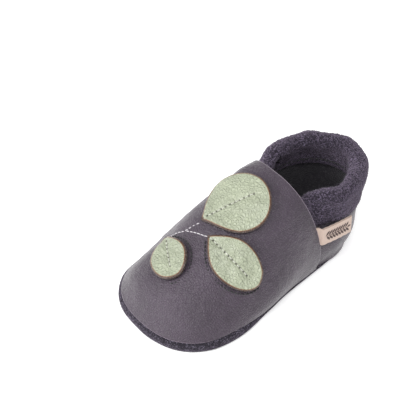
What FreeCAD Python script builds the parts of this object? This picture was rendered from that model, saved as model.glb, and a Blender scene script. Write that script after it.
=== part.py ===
"""Soft leather baby bootie with an elasticated suede collar and three leaf patches.

Millimetres.  +Z is up and the bootie stands on Z = 0.  The toe points along -Y and
the heel along +Y.  +X is the outer side of this left bootie, where the side tag is.
The origin lies on the floor under the middle of the bootie.

Every sheet of leather is a smooth surface function of two parameters, given a
thickness along its own normal.  A distance named "..._D" runs from the tip of the
toe towards the heel.  Lists of sizes along the vamp run from throat to toe.
"""
import FreeCAD, Part
import math
import os

Vector = FreeCAD.Vector

# ------------------------------------------------------------------ overall sizes
SOLE_LENGTH = 134.0        # outsole, tip of the toe to the back of the heel
BALL_WIDTH = 73.4          # outsole across the ball of the foot
HEEL_WIDTH = 51.0          # outsole across the heel
VAMP_HEIGHT = 56.5         # floor to the top of the vamp's raw throat edge
ROLL_HEIGHT = 47.5         # floor to the middle of the collar's soft roll, at the heel
COLLAR_OVERHANG = 6.2      # how far the collar leans out past the heel of the outsole

# ------------------------------------------------------------------ outline of the sole
TOE_ROUND = 34.7           # length of the rounded toe, up to the ball line
TOE_POWER = 2.36           # 2 is an ellipse, more is blunter
HEEL_ROUND = 27.0          # length of the rounded heel
HEEL_SEAT = 41.0           # from the back of the heel to where the waist begins
HEEL_SHIFT = 2.3           # middle of the heel, towards the outer side
TOE_SHIFT = 0.4            # middle of the toe tip, towards the outer side

# ------------------------------------------------------------------ sole sheets
SOLE_SUEDE = 1.8           # suede of the outsole
RIM_HEIGHT = 6.0           # top of the outsole's turned-up rim
RIM_LEAN = 1.2             # the rim's top edge leans in by this much
TREAD_INSET = 2.5          # flat part of the outsole, in from its outline
PAD = 2.0                  # cushioning pad
INSOLE = 1.2               # leather insole on top of the pad
SOLE_CLEARANCE = 0.2       # around pad and insole

# ------------------------------------------------------------------ upper sheets
LEATHER = 1.2              # smooth leather of vamp and heel quarter
SUEDE = 1.2                # suede of the collar casing
LEAF = 1.4                 # leather of the leaf patches
SEAM_GAP = 0.3             # room for the thread between rim and upper
SEAM_INSET = 1.5           # outer face of the upper at the sole seam, in from the outline
LAYER_GAP = 0.3            # clearance between layers that lie on each other

# ------------------------------------------------------------------ vamp
WING_FOOT_BACK = 38.7      # where the vamp's wings meet the sole seam, from the heel
THROAT_BACK = 47.0         # top of the raw throat edge, from the heel
RIDGE_SHIFT = -4.0         # ridge of the instep, towards the inner side
RIDGE_RUN = [0.0, 0.17544, 0.36257, 0.54971, 0.72515, 0.89474, 1.0]    # as shares of the ridge
RIDGE_DROP = [0.0, 2.1, 10.1, 18.9, 27.7, 37.4]    # below the top of the throat
BULGE = [2.2, 3.2, 4.0, 4.4, 3.2, 1.2, 0.0]        # side walls past the seam line
ARCH_POWER = [2.9, 2.6, 2.45, 2.3, 2.2, 2.2, TOE_POWER]    # squareness of the rows
BELLY_HEIGHT = 0.31        # where the bulge is full, as part of the row's height

# ------------------------------------------------------------------ heel and collar
HEEL_BULGE = 1.0           # heel quarter, half width gained between seam and collar
ROLL_NARROWING = 4.2       # collar, middle of roll to middle of roll, less than HEEL_WIDTH
ROLL_RADIUS = 4.8          # radius of the soft roll
END_RADIUS = 3.6           # radius of the roll at its two front ends
ROLL_DROP = 15.0           # front ends of the roll, below the top of the vamp
COLLAR_RUN = 22.0          # how far the collar runs forward of the round of the heel
HEM_HEIGHT = 33.0          # floor to the outer hem of the collar
QUARTER_GAP = 1.0          # top edge of the quarter, below the elastic
INNER_HEM_RISE = 1.0       # inner hem of the collar above the outer hem
CASING_GAP = 0.2           # clearance between the quarter and each leg of the casing
WING_CLEARANCE = 0.8       # extra room between the soft roll and the vamp over it
OUTER_TUCK = (0.15, -0.45)     # where the heel end draws in under the outer wing of the
INNER_TUCK = (-0.08, -0.53)    # vamp and the inner one, start and end, as sines round the heel
ELASTIC_WIDTH = 7.0
ELASTIC_THICKNESS = 1.0
TACK_BARS = 3              # thread bars at each end of the elastic
TACK_SETBACK = 0.08        # radians round the collar, from the end of the elastic
HEM_STITCH_PLACE = 0.93    # inner hem seam, as a share of the way over the casing

# ------------------------------------------------------------------ leaf patches
# name: place of the pointed base, place aimed at (both as parameters of the vamp),
# length, width, flank with a dark seam beside it on the vamp (0 for none)
LEAVES = {
    "large_leaf": ((0.533, 0.430), (0.417, 0.090), 35.8, 31.2, 0),
    "middle_leaf": ((0.472, 0.465), (0.168, 0.556), 33.4, 22.2, -1),
    "small_leaf": ((0.634, 0.603), (0.436, 0.741), 25.6, 19.6, 1),
}
LEAF_WIDEST = 0.52         # widest place, as part of the leaf's length
STEM = [(0.536, 0.445), (0.554, 0.475), (0.573, 0.518), (0.610, 0.556), (0.632, 0.590)]
BRANCH = [(0.478, 0.474), (0.502, 0.481), (0.536, 0.498), (0.566, 0.514)]

# ------------------------------------------------------------------ stitches
STITCH_PITCH = 2.5
STITCH_LENGTH = 1.7
THREAD = 0.5               # width of a stitch
THREAD_RISE = 0.3          # height of a stitch
THREAD_GAP = 0.12          # between a stitch and the leather under it
MIDRIB_START = 2.5         # first midrib stitch, from the base of the leaf
MIDRIB_REACH = 0.78        # how far the midrib seam runs, as part of the leaf's length
OUTLINE_PITCH = 2.0
OUTLINE_STITCH = 1.0
OUTLINE_GAP = 1.6          # outline seam to the edge of the leaf
OUTLINE_REACH = 1.6        # how far that seam passes the middle of the leaf
SEAM_PITCH = 3.6
SEAM_STITCH = 2.6
SEAM_THREAD = 0.25

# ------------------------------------------------------------------ side tag
TAG_LENGTH = 19.0
TAG_HEIGHT = 10.0
TAPE = 0.45                # woven tape
TAG_FOLD_GAP = 0.3         # between the tag's two layers
TAG_HEM_GAP = 0.3          # between the tag and the collar's hem above it
TAG_STAND_OFF = 4.0        # degrees, how far the free end stands off the quarter
TAG_WING_GAP = 0.4         # between the tag's sewn end and the vamp's edge

# ------------------------------------------------------------------ numeric helpers
STEP = 1e-3                # parameter step for numeric derivatives
FORWARD = 1                # ruled faces join edges in the direction that both run
UPPER_BASE = RIM_HEIGHT + SEAM_GAP
WING_FOOT_D = SOLE_LENGTH - WING_FOOT_BACK
THROAT_D = SOLE_LENGTH - THROAT_BACK
RIDGE_LENGTH = THROAT_D - SEAM_INSET
ROLL_WIDTH = HEEL_WIDTH - ROLL_NARROWING


def clamp(value, low=0.0, high=1.0):
    """Limit a value to a range."""
    return min(max(value, low), high)


def ease(t):
    """Smooth step from 0 to 1."""
    t = clamp(t)
    return t * t * (3.0 - 2.0 * t)


def smooth(values, t):
    """Smooth curve through evenly spaced values, at t from 0 to 1."""
    spans = len(values) - 1
    place = clamp(t) * spans
    i = min(int(place), spans - 1)
    f = place - i
    here, after = values[i], values[i + 1]
    before = values[i - 1] if i > 0 else 2.0 * here - after
    beyond = values[i + 2] if i + 2 <= spans else 2.0 * after - here
    slope = after - before
    bend = 2.0 * before - 5.0 * here + 4.0 * after - beyond
    twist = 3.0 * (here - after) + beyond - before
    return here + 0.5 * f * (slope + f * (bend + f * twist))


def signed_power(value, exponent):
    """Power that keeps the sign, for superellipses."""
    return math.copysign(abs(value) ** exponent, value)


def spread(low, high, count):
    """Evenly spaced values, both ends included."""
    return [low + (high - low) * i / (count - 1) for i in range(count)]


# ------------------------------------------------------------------ outline of the sole
def at(distance):
    """Y of a place given by its distance from the tip of the toe."""
    return distance - (SOLE_LENGTH + COLLAR_OVERHANG) / 2.0


def waist_blend(distance):
    """0 at the ball line, 1 from the heel seat on."""
    run = SOLE_LENGTH - HEEL_SEAT - TOE_ROUND
    t = clamp((distance - TOE_ROUND) / run)
    return (1.0 - math.cos(math.pi * t)) / 2.0


def sole_half_width(distance):
    """Half width of the outsole from the ball line back."""
    return (BALL_WIDTH + (HEEL_WIDTH - BALL_WIDTH) * waist_blend(distance)) / 2.0


def sole_centre(distance):
    """X of the middle of the outsole."""
    tip = max(1.0 - distance / TOE_ROUND, 0.0)
    return HEEL_SHIFT * waist_blend(distance) + TOE_SHIFT * tip * tip


def outline_points(inset, z):
    """Points round the sole outline, moved in by inset."""
    points = []
    for phi in spread(0.0, math.pi, 25):
        run = abs(math.sin(phi)) ** (2.0 / TOE_POWER)
        distance = TOE_ROUND - (TOE_ROUND - inset) * run
        side = (BALL_WIDTH / 2.0 - inset) * signed_power(math.cos(phi), 2.0 / TOE_POWER)
        points.append(Vector(sole_centre(distance) + side, at(distance), z))
    waist = spread(TOE_ROUND, SOLE_LENGTH - HEEL_ROUND, 9)[1:-1]
    for distance in waist:
        x = sole_centre(distance) - sole_half_width(distance) + inset
        points.append(Vector(x, at(distance), z))
    for phi in spread(math.pi, 0.0, 17):
        y = at(SOLE_LENGTH - HEEL_ROUND) + (HEEL_ROUND - inset) * math.sin(phi)
        x = HEEL_SHIFT + (HEEL_WIDTH / 2.0 - inset) * math.cos(phi)
        points.append(Vector(x, y, z))
    for distance in reversed(waist):
        x = sole_centre(distance) + sole_half_width(distance) - inset
        points.append(Vector(x, at(distance), z))
    return points


def outline_wire(inset, z):
    """Closed smooth wire along the sole outline."""
    curve = Part.BSplineCurve()
    curve.interpolate(Points=outline_points(inset, z), PeriodicFlag=True)
    return Part.Wire([curve.toShape()])


def sole_slab(levels):
    """Solid through the sole outline at (inset, height) levels."""
    return Part.makeLoft([outline_wire(inset, z) for inset, z in levels], True, False)


# ------------------------------------------------------------------ surfaces of the upper
def throat_row(height):
    """Middle and half width of the vamp's throat edge at a height."""
    rise = clamp((height - UPPER_BASE) / (VAMP_HEIGHT - UPPER_BASE))
    side = (1.0 - rise ** ARCH_POWER[0]) ** (1.0 / ARCH_POWER[0])
    half = sole_half_width(WING_FOOT_D) - SEAM_INSET + belly(BULGE[0], rise)
    return sole_centre(WING_FOOT_D) + RIDGE_SHIFT * rise * rise, half * side


def belly(bulge, rise):
    """Sideways bulge of a row at a share of its height."""
    return bulge * math.sin(math.pi / 2.0 * min(rise / BELLY_HEIGHT, 1.0))


def vamp_point(a, s):
    """Outer face of the vamp.

    a runs over the foot from the outer seam (0) to the inner seam (1), and s from
    the raw throat edge (0) to the toe seam (1).
    """
    phi, s = math.pi * clamp(a), clamp(s)
    power = smooth(ARCH_POWER, s)
    side = signed_power(math.cos(phi), 2.0 / power)
    rise = abs(math.sin(phi)) ** (2.0 / power)
    foot_d = WING_FOOT_D + (TOE_ROUND - WING_FOOT_D) * s
    ridge_d = THROAT_D - RIDGE_LENGTH * smooth(RIDGE_RUN, s)
    ridge_z = VAMP_HEIGHT - smooth(RIDGE_DROP + [VAMP_HEIGHT - UPPER_BASE], s)
    row_d = foot_d + (ridge_d - foot_d) * rise ** (2.0 - s)
    half = sole_half_width(foot_d) - SEAM_INSET + belly(smooth(BULGE, s), rise)
    lean = RIDGE_SHIFT * rise * rise * (1.0 - s)
    x = sole_centre(row_d) + lean + half * side
    return Vector(x, at(row_d), UPPER_BASE + (ridge_z - UPPER_BASE) * rise)


FRONT_SINE = COLLAR_RUN / (HEEL_ROUND + COLLAR_OVERHANG - ROLL_RADIUS)
FRONT_ANGLE = -math.asin(FRONT_SINE)


def roll_height(angle):
    """Height of the middle of the roll, round the heel."""
    front = (1.0 - math.sin(angle)) / (1.0 + FRONT_SINE)
    return ROLL_HEIGHT + (VAMP_HEIGHT - ROLL_DROP - ROLL_HEIGHT) * front * front


def level(angle, height):
    """Share of the way from sole seam to middle of the roll at a height."""
    return (height - UPPER_BASE) / (roll_height(angle) - UPPER_BASE)


def tuck(angle):
    """0 round the heel, rising to 1 at the ends that lie under the vamp."""
    start, end = OUTER_TUCK if math.cos(angle) > 0.0 else INNER_TUCK
    return ease((start - math.sin(angle)) / (start - end))


def roll_radius(angle):
    """Radius of the soft roll, smaller where the vamp presses on it."""
    return ROLL_RADIUS + (END_RADIUS - ROLL_RADIUS) * tuck(angle)


def half_thickness(angle, h):
    """Half thickness of the heel end: quarter alone at the seam, then with the collar."""
    hem = level(angle, HEM_HEIGHT)
    single, legs = LEATHER / 2.0, LEATHER / 2.0 + CASING_GAP + SUEDE
    if h < hem:
        return single + (legs - single) * ease(h / hem)
    return legs + (roll_radius(angle) - legs) * clamp((h - hem) / (1.0 - hem)) ** 1.5


def form_point(angle, h):
    """Middle face of the heel end, from sole seam (h = 0) to the middle of the roll (1).

    The angle is 0 on the outer side and a quarter turn at the back of the heel.  The
    stretches before 0 and after half a turn run forward under the vamp.
    """
    c, r = math.cos(angle), math.sin(angle)
    hump = 4.0 * h * (1.0 - h)
    foot = SEAM_INSET + LEATHER / 2.0
    half = HEEL_WIDTH / 2.0 - foot
    half += (ROLL_WIDTH / 2.0 - half) * h + HEEL_BULGE * hump
    roll_back = HEEL_ROUND + COLLAR_OVERHANG - ROLL_RADIUS
    back = HEEL_ROUND - foot
    back += (roll_back - back) * h + HEEL_BULGE * hump
    z = UPPER_BASE + (roll_height(angle) - UPPER_BASE) * h
    middle, room = throat_row(z)
    room -= LEATHER + LAYER_GAP + half_thickness(angle, h) + WING_CLEARANCE * h
    under = tuck(angle)
    side = c if r >= 0.0 else math.copysign(1.0, c)
    run = back if r >= 0.0 else roll_back
    x = HEEL_SHIFT + half * side
    inside = middle + room * side
    return Vector(x + (inside - x) * under, at(SOLE_LENGTH - HEEL_ROUND) + run * r, z)


ROLL_START, ROLL_END = 0.35, 0.68      # stretch of the casing that goes over the roll


def collar_point(angle, v):
    """Outer face of the collar casing, from outer hem (0) over the roll to inner hem (1)."""
    ahead = form_point(angle + STEP, 1.0)
    behind = form_point(angle - STEP, 1.0)
    outward = (ahead - behind).cross(Vector(0, 0, 1)).normalize()
    if ROLL_START <= v <= ROLL_END:
        turn = math.pi * (v - ROLL_START) / (ROLL_END - ROLL_START)
        side, up = math.cos(turn), Vector(0, 0, math.sin(turn))
        return form_point(angle, 1.0) + (outward * side + up) * roll_radius(angle)
    if v < ROLL_START:
        hem = level(angle, HEM_HEIGHT)
        h = hem + (1.0 - hem) * v / ROLL_START
        return form_point(angle, h) + outward * half_thickness(angle, h)
    hem = level(angle, HEM_HEIGHT + INNER_HEM_RISE)
    h = 1.0 + (hem - 1.0) * (v - ROLL_END) / (1.0 - ROLL_END)
    return form_point(angle, h) - outward * half_thickness(angle, h)


def outward_normal(face, u, v):
    """Unit normal of a face function, on the outside of the bootie."""
    along_u = face(u + STEP, v) - face(u - STEP, v)
    along_v = face(u, v + STEP) - face(u, v - STEP)
    return along_u.cross(along_v).normalize()


def lifted(face, u, v, lift):
    """Point of a face function moved out along its normal."""
    return face(u, v) + outward_normal(face, u, v) * lift


# ------------------------------------------------------------------ solids
def reach_shares(rows):
    """Share of its length that a net's rows have reached at each point, averaged."""
    shares = [0.0] * len(rows[0])
    for row in rows:
        reach = [0.0]
        for before, after in zip(row, row[1:]):
            reach.append(reach[-1] + (after - before).Length)
        shares = [share + r / reach[-1] / len(rows) for share, r in zip(shares, reach)]
    return shares


def curve_through(points, parameters):
    """Smooth curve through points at set parameters."""
    curve = Part.BSplineCurve()
    curve.interpolate(Points=list(points), Parameters=parameters)
    return curve


def net_surface(rows, u_shares, v_shares):
    """Smooth surface through a net of points at set parameters."""
    across = [curve_through(row, v_shares) for row in rows]
    along = [curve_through(column, u_shares)
             for column in zip(*[curve.getPoles() for curve in across])]
    poles = list(zip(*[curve.getPoles() for curve in along]))
    surface = Part.BSplineSurface()
    surface.buildFromPolesMultsKnots(
        poles, along[0].getMultiplicities(), across[0].getMultiplicities(),
        along[0].getKnots(), across[0].getKnots(), False, False,
        along[0].Degree, across[0].Degree)
    return surface


def sheet(face, u_values, v_values, inner, outer):
    """Solid sheet between two offsets of a face function."""
    nets = [[[lifted(face, u, v, lift) for v in v_values] for u in u_values]
            for lift in (inner, outer)]
    for point in [point for net in nets for row in net for point in row]:
        point.z = max(point.z, UPPER_BASE)
    v_shares = reach_shares(nets[1])
    u_shares = reach_shares(list(zip(*nets[1])))
    skins = [net_surface(net, u_shares, v_shares) for net in nets]
    faces = [skin.toShape() for skin in skins]
    for low, high in zip(border(skins[0]), border(skins[1])):
        faces.append(Part.makeRuledSurface(low, high, FORWARD))
    shell = Part.makeShell(faces)
    shell.sewShape()
    solid = Part.makeSolid(Part.Shell(shell.Faces))
    if solid.Volume < 0.0:
        solid.reverse()
    return solid


def border(surface):
    """The four edges of a surface patch."""
    u0, u1, v0, v1 = surface.bounds()
    curves = (surface.uIso(u0), surface.uIso(u1), surface.vIso(v0), surface.vIso(v1))
    return [curve.toShape() for curve in curves]


def framed(origin, along, normal):
    """Placement matrix with local X along, local Z on the normal."""
    z = Vector(normal).normalize()
    y = z.cross(along).normalize()
    x = y.cross(z)
    return FreeCAD.Matrix(x.x, y.x, z.x, origin.x, x.y, y.y, z.y, origin.y,
                          x.z, y.z, z.z, origin.z, 0, 0, 0, 1)


def stitch(place, along, normal, length, width, rise):
    """One stitch: a small bar of thread lying on the leather."""
    bar = Part.makeBox(length, width, rise, Vector(-length / 2.0, -width / 2.0, 0.0))
    return bar.transformGeometry(framed(place, along, normal))


def stitches_along(points, normals, length, width, rise):
    """Bars centred on evenly spaced points, each along the path."""
    bars = []
    last = len(points) - 1
    for i, (point, normal) in enumerate(zip(points, normals)):
        along = points[min(i + 1, last)] - points[max(i - 1, 0)]
        bars.append(stitch(point, along, normal, length, width, rise))
    return Part.makeCompound(bars)


def even_places(path, low, high, pitch):
    """Parameters that lie evenly spaced along a path function."""
    values = spread(low, high, 300)
    points = [path(value) for value in values]
    reach = [0.0]
    for before, after in zip(points, points[1:]):
        reach.append(reach[-1] + (after - before).Length)
    count = max(int(reach[-1] / pitch), 1)
    margin = (reach[-1] - count * pitch) / 2.0
    places = []
    for k in range(count):
        target = margin + (k + 0.5) * pitch
        i = next(j for j, length in enumerate(reach) if length >= target)
        share = (target - reach[i - 1]) / (reach[i] - reach[i - 1])
        places.append(values[i - 1] + (values[i] - values[i - 1]) * share)
    return places


# ------------------------------------------------------------------ sole
def make_outsole():
    """Suede sole with its rim turned up to the seam."""
    outer = sole_slab([(TREAD_INSET, 0.0), (RIM_LEAN / 2.0, RIM_HEIGHT / 6.0),
                       (0.0, RIM_HEIGHT / 2.0), (RIM_LEAN, RIM_HEIGHT)])
    inner = sole_slab([(TREAD_INSET + SOLE_SUEDE, SOLE_SUEDE),
                       (SOLE_SUEDE, RIM_HEIGHT / 2.0),
                       (RIM_LEAN + SOLE_SUEDE, RIM_HEIGHT),
                       (RIM_LEAN + SOLE_SUEDE, RIM_HEIGHT + SOLE_SUEDE)])
    return outer.cut(inner)


def make_sole_pad():
    """Cushioning pad lying in the outsole."""
    base = SOLE_SUEDE + SOLE_CLEARANCE / 2.0
    edge = TREAD_INSET + SOLE_SUEDE + SOLE_CLEARANCE
    return sole_slab([(edge, base), (edge, base + PAD)])


def make_insole():
    """Leather insole on the pad."""
    base = SOLE_SUEDE + SOLE_CLEARANCE + PAD
    edge = RIM_LEAN + SOLE_SUEDE + SOLE_CLEARANCE
    return sole_slab([(edge, base), (edge, base + INSOLE)])


def make_sole_seam():
    """Thread of the turned seam that joins the outsole to the upper."""
    wire = outline_wire(SEAM_INSET + LEATHER / 2.0, RIM_HEIGHT)
    count = int(round(wire.Length / SEAM_PITCH))
    points = wire.discretize(Number=count + 1)[:-1]
    rise = (SEAM_GAP - SEAM_THREAD) / 2.0
    places = [p + Vector(0, 0, rise) for p in points]
    ups = [Vector(0, 0, 1)] * len(places)
    return stitches_along(places, ups, SEAM_STITCH, SEAM_THREAD, SEAM_THREAD)


# ------------------------------------------------------------------ upper
def collar_angles(count):
    """Angles round the heel from one end of the collar to the other."""
    return spread(FRONT_ANGLE, math.pi - FRONT_ANGLE, count)


def make_vamp():
    """Front of the upper, from toe to throat, with its two wings."""
    over = [(1.0 - math.cos(math.pi * t)) / 2.0 for t in spread(0.0, 1.0, 29)]
    return sheet(vamp_point, over, spread(0.0, 1.0, 19), -LEATHER, 0.0)


def make_heel_quarter():
    """Back of the upper, its ends under the wings and its top in the collar."""
    def quarter(angle, t):
        top = roll_height(angle) - ELASTIC_WIDTH - QUARTER_GAP
        return form_point(angle, t * level(angle, top))
    return sheet(quarter, collar_angles(31), spread(0.0, 1.0, 9),
                 -LEATHER / 2.0, LEATHER / 2.0)


def make_collar_casing():
    """Folded suede strip round the ankle."""
    return sheet(collar_point, collar_angles(31), spread(0.0, 1.0, 19), -SUEDE, 0.0)


def make_ankle_elastic():
    """Elastic band in the fold of the collar."""
    def band(angle, t):
        low = level(angle, roll_height(angle) - ELASTIC_WIDTH)
        return form_point(angle, low + (1.0 - low) * t)
    return sheet(band, collar_angles(31), spread(0.0, 1.0, 4),
                 -ELASTIC_THICKNESS / 2.0, ELASTIC_THICKNESS / 2.0)


def make_collar_hem_stitches():
    """Seam through the inner hem of the collar, seen inside the bootie."""
    def hem_line(angle):
        return collar_point(angle, HEM_STITCH_PLACE)
    angles = even_places(hem_line, FRONT_ANGLE, math.pi - FRONT_ANGLE, STITCH_PITCH)
    normals = [outward_normal(collar_point, angle, HEM_STITCH_PLACE) for angle in angles]
    places = [hem_line(a) + n * THREAD_GAP for a, n in zip(angles, normals)]
    return stitches_along(places, normals, STITCH_LENGTH, THREAD, THREAD_RISE)


def make_elastic_tacks():
    """Short bars of thread that hold the two ends of the elastic."""
    bars = []
    face_gap = ELASTIC_THICKNESS / 2.0 + THREAD_GAP
    for end, inwards in ((FRONT_ANGLE, 1.0), (math.pi - FRONT_ANGLE, -1.0)):
        angle = end + inwards * TACK_SETBACK
        low = level(angle, roll_height(angle) - ELASTIC_WIDTH)
        for share in spread(0.25, 0.75, TACK_BARS):
            h = low + (1.0 - low) * share
            normal = outward_normal(form_point, angle, h)
            along = form_point(angle + STEP, h) - form_point(angle - STEP, h)
            place = form_point(angle, h) + normal * face_gap
            bars.append(stitch(place, along, normal, STITCH_LENGTH, THREAD, THREAD_RISE))
    return Part.makeCompound(bars)


# ------------------------------------------------------------------ leaf patches
def leaf_frame(name):
    """Base point, direction to the tip and normal of a leaf's flat pattern."""
    base, aim = LEAVES[name][0], LEAVES[name][1]
    middle = [(b + t) / 2.0 for b, t in zip(base, aim)]
    normal = outward_normal(vamp_point, *middle)
    ray = vamp_point(*aim) - vamp_point(*base)
    along = (ray - normal * ray.dot(normal)).normalize()
    return vamp_point(*base), along, normal


def leaf_wire(length, width):
    """Flat outline of a leaf: pointed base at the origin, round tip along +X."""
    half, widest = width / 2.0, LEAF_WIDEST * length
    edges = []
    for side in (1.0, -1.0):
        curve = Part.BezierCurve()
        curve.setPoles([Vector(0, 0, 0), Vector(0.18 * length, 0.55 * half * side, 0),
                        Vector(0.30 * length, half * side, 0), Vector(widest, half * side, 0)])
        edges.append(curve.toShape())
    tip = length - widest
    centre = Vector(widest, 0, 0)
    if tip > half:
        ellipse = Part.Ellipse(centre + Vector(tip, 0, 0), centre + Vector(0, half, 0), centre)
        turn = 0.0
    else:
        ellipse = Part.Ellipse(centre + Vector(0, half, 0), centre - Vector(tip, 0, 0), centre)
        turn = math.pi / 2.0
    arc = Part.ArcOfEllipse(ellipse, -math.pi / 2.0 - turn, math.pi / 2.0 - turn)
    edges.append(arc.toShape())
    return Part.Wire(Part.__sortEdges__(edges))


def on_vamp(origin, along, normal, x, y, guess):
    """Vamp parameters under the point (x, y) of a flat pattern."""
    across = normal.cross(along)
    a, s = guess
    for _ in range(12):
        def miss(a, s):
            ray = vamp_point(a, s) - origin
            return ray.dot(along) - x, ray.dot(across) - y
        fx, fy = miss(a, s)
        ax, ay = miss(a + STEP, s)
        sx, sy = miss(a, s + STEP)
        ax, ay = (ax - fx) / STEP, (ay - fy) / STEP
        sx, sy = (sx - fx) / STEP, (sy - fy) / STEP
        det = ax * sy - sx * ay
        a -= (fx * sy - sx * fy) / det
        s -= (ax * fy - fx * ay) / det
    return a, s


def make_leaf(name, layer):
    """Leaf patch: the leaf's outline cut from a layer of leather over the vamp."""
    length, width = LEAVES[name][2], LEAVES[name][3]
    origin, along, normal = leaf_frame(name)
    flat = Part.Face(leaf_wire(length, width))
    flat = flat.transformGeometry(framed(origin - normal * width, along, normal))
    return layer.common(flat.extrude(normal * (2.0 * width)))


def vamp_stitches(name, flat_points, lift, length):
    """Stitches over the vamp at points of a leaf's flat pattern."""
    origin, along, normal = leaf_frame(name)
    guess = LEAVES[name][0]
    places, normals = [], []
    for point in flat_points:
        guess = on_vamp(origin, along, normal, point.x, point.y, guess)
        normals.append(outward_normal(vamp_point, *guess))
        places.append(vamp_point(*guess) + normals[-1] * lift)
    return stitches_along(places, normals, length, THREAD, THREAD_RISE)


def make_midrib(name):
    """Seam down the middle of a leaf, the only one that holds it."""
    count = int((MIDRIB_REACH * LEAVES[name][2] - MIDRIB_START) / STITCH_PITCH) + 1
    points = [Vector(MIDRIB_START + STITCH_PITCH * i, 0, 0) for i in range(count)]
    return vamp_stitches(name, points, LAYER_GAP + LEAF + THREAD_GAP, STITCH_LENGTH)


def make_leaf_outline(name):
    """Dark seam on the vamp along one flank of a leaf."""
    length, width, flank = LEAVES[name][2:]
    ring = leaf_wire(length, width).makeOffset2D(OUTLINE_GAP)
    count = int(ring.Length / OUTLINE_PITCH)
    points = [p for p in ring.discretize(Number=count + 1)[:-1]
              if p.y * flank > -OUTLINE_REACH and p.x > 0.0]
    return vamp_stitches(name, points, THREAD_GAP, OUTLINE_STITCH)


def make_vamp_seam(route):
    """Pale stitches on the vamp along a route of vamp parameters."""
    def path(t):
        return vamp_point(smooth([p[0] for p in route], t), smooth([p[1] for p in route], t))
    places, normals = [], []
    for t in even_places(path, 0.0, 1.0, STITCH_PITCH):
        spot = (smooth([p[0] for p in route], t), smooth([p[1] for p in route], t))
        normals.append(outward_normal(vamp_point, *spot))
        places.append(vamp_point(*spot) + normals[-1] * THREAD_GAP)
    return stitches_along(places, normals, STITCH_LENGTH, THREAD, THREAD_RISE)


# ------------------------------------------------------------------ side tag
def tag_top():
    """Height of the tag's top edge."""
    return HEM_HEIGHT - TAG_HEM_GAP


def tag_hinge():
    """Foot of the line that the tag swings about: the outer edge of its sewn end."""
    edge = [vamp_point(a, 0.0) for a in spread(0.0, 0.4, 80)]
    beside = [p.y for p in edge if tag_top() - TAG_HEIGHT - 1.0 < p.z < tag_top() + 1.0]
    y = max(beside) + TAG_WING_GAP
    sides = []
    for angle in spread(FRONT_ANGLE, math.pi / 4.0, 60):
        for z in (tag_top() - TAG_HEIGHT, tag_top()):
            sides.append(form_point(angle, level(angle, z)))
    reach = [p.x for p in sides if y - 2.0 < p.y < y + TAG_LENGTH]
    x = max(reach) + LEATHER / 2.0 + LAYER_GAP + 2.0 * TAPE + TAG_FOLD_GAP
    return Vector(x, y, tag_top() - TAG_HEIGHT)


def make_side_tag():
    """Folded woven tape: two layers joined at the free end."""
    depth = 2.0 * TAPE + TAG_FOLD_GAP
    radius = depth / 2.0
    outer = Part.makeBox(depth, TAG_LENGTH - radius, TAG_HEIGHT)
    outer = outer.fuse(Part.makeCylinder(radius, TAG_HEIGHT, Vector(radius, TAG_LENGTH - radius, 0)))
    slot = Part.makeBox(TAG_FOLD_GAP, TAG_LENGTH - radius, TAG_HEIGHT, Vector(TAPE, 0, 0))
    bend = Part.makeCylinder(TAG_FOLD_GAP / 2.0, TAG_HEIGHT, Vector(radius, TAG_LENGTH - radius, 0))
    tag = outer.cut(slot.fuse(bend)).removeSplitter()
    tag.translate(Vector(-depth, 0, 0))
    tag.rotate(Vector(0, 0, 0), Vector(0, 0, 1), -TAG_STAND_OFF)
    tag.translate(tag_hinge())
    return tag


# ------------------------------------------------------------------ build
def build():
    """All pieces by node name."""
    layer = sheet(vamp_point, spread(0.08, 0.76, 25), spread(0.0, 0.92, 21),
                  LAYER_GAP, LAYER_GAP + LEAF)
    pieces = {
        "outsole": make_outsole(),
        "sole_pad": make_sole_pad(),
        "insole": make_insole(),
        "sole_seam_stitches": make_sole_seam(),
        "vamp": make_vamp(),
        "heel_quarter": make_heel_quarter(),
        "collar_casing": make_collar_casing(),
        "collar_hem_stitches": make_collar_hem_stitches(),
        "ankle_elastic": make_ankle_elastic(),
        "elastic_end_tacks": make_elastic_tacks(),
        "stem_stitches": make_vamp_seam(STEM),
        "branch_stitches": make_vamp_seam(BRANCH),
        "side_tag": make_side_tag(),
    }
    for name, leaf in LEAVES.items():
        pieces[name] = make_leaf(name, layer)
        pieces[name + "_midrib_stitches"] = make_midrib(name)
        if leaf[4]:
            pieces[name + "_outline_stitches"] = make_leaf_outline(name)
    return pieces


def main():
    """Write one STEP file per piece."""
    os.makedirs("parts", exist_ok=True)
    for name, shape in sorted(build().items()):
        shape.exportStep(os.path.join("parts", name + ".step"))
        box = shape.BoundBox
        print("%-30s solids %3d valid %s volume %9.1f  x %6.1f %6.1f  y %6.1f %6.1f  z %5.1f %5.1f" % (
            name, len(shape.Solids), shape.isValid(), shape.Volume,
            box.XMin, box.XMax, box.YMin, box.YMax, box.ZMin, box.ZMax))
    print("tag hinge", tuple(round(value, 3) for value in tag_hinge()))


if __name__ == "__main__":
    main()
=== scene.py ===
"""Visual model of a soft leather baby bootie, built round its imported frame.

Sizes in the classes are millimetres, as a maker would write them; meshes are metres.
+Z is up, the toe points along -Y and the outer side of this left bootie is +X.
"""

import logging
import math
from collections.abc import Callable, Sequence
from dataclasses import dataclass, field
from enum import Enum

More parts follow.
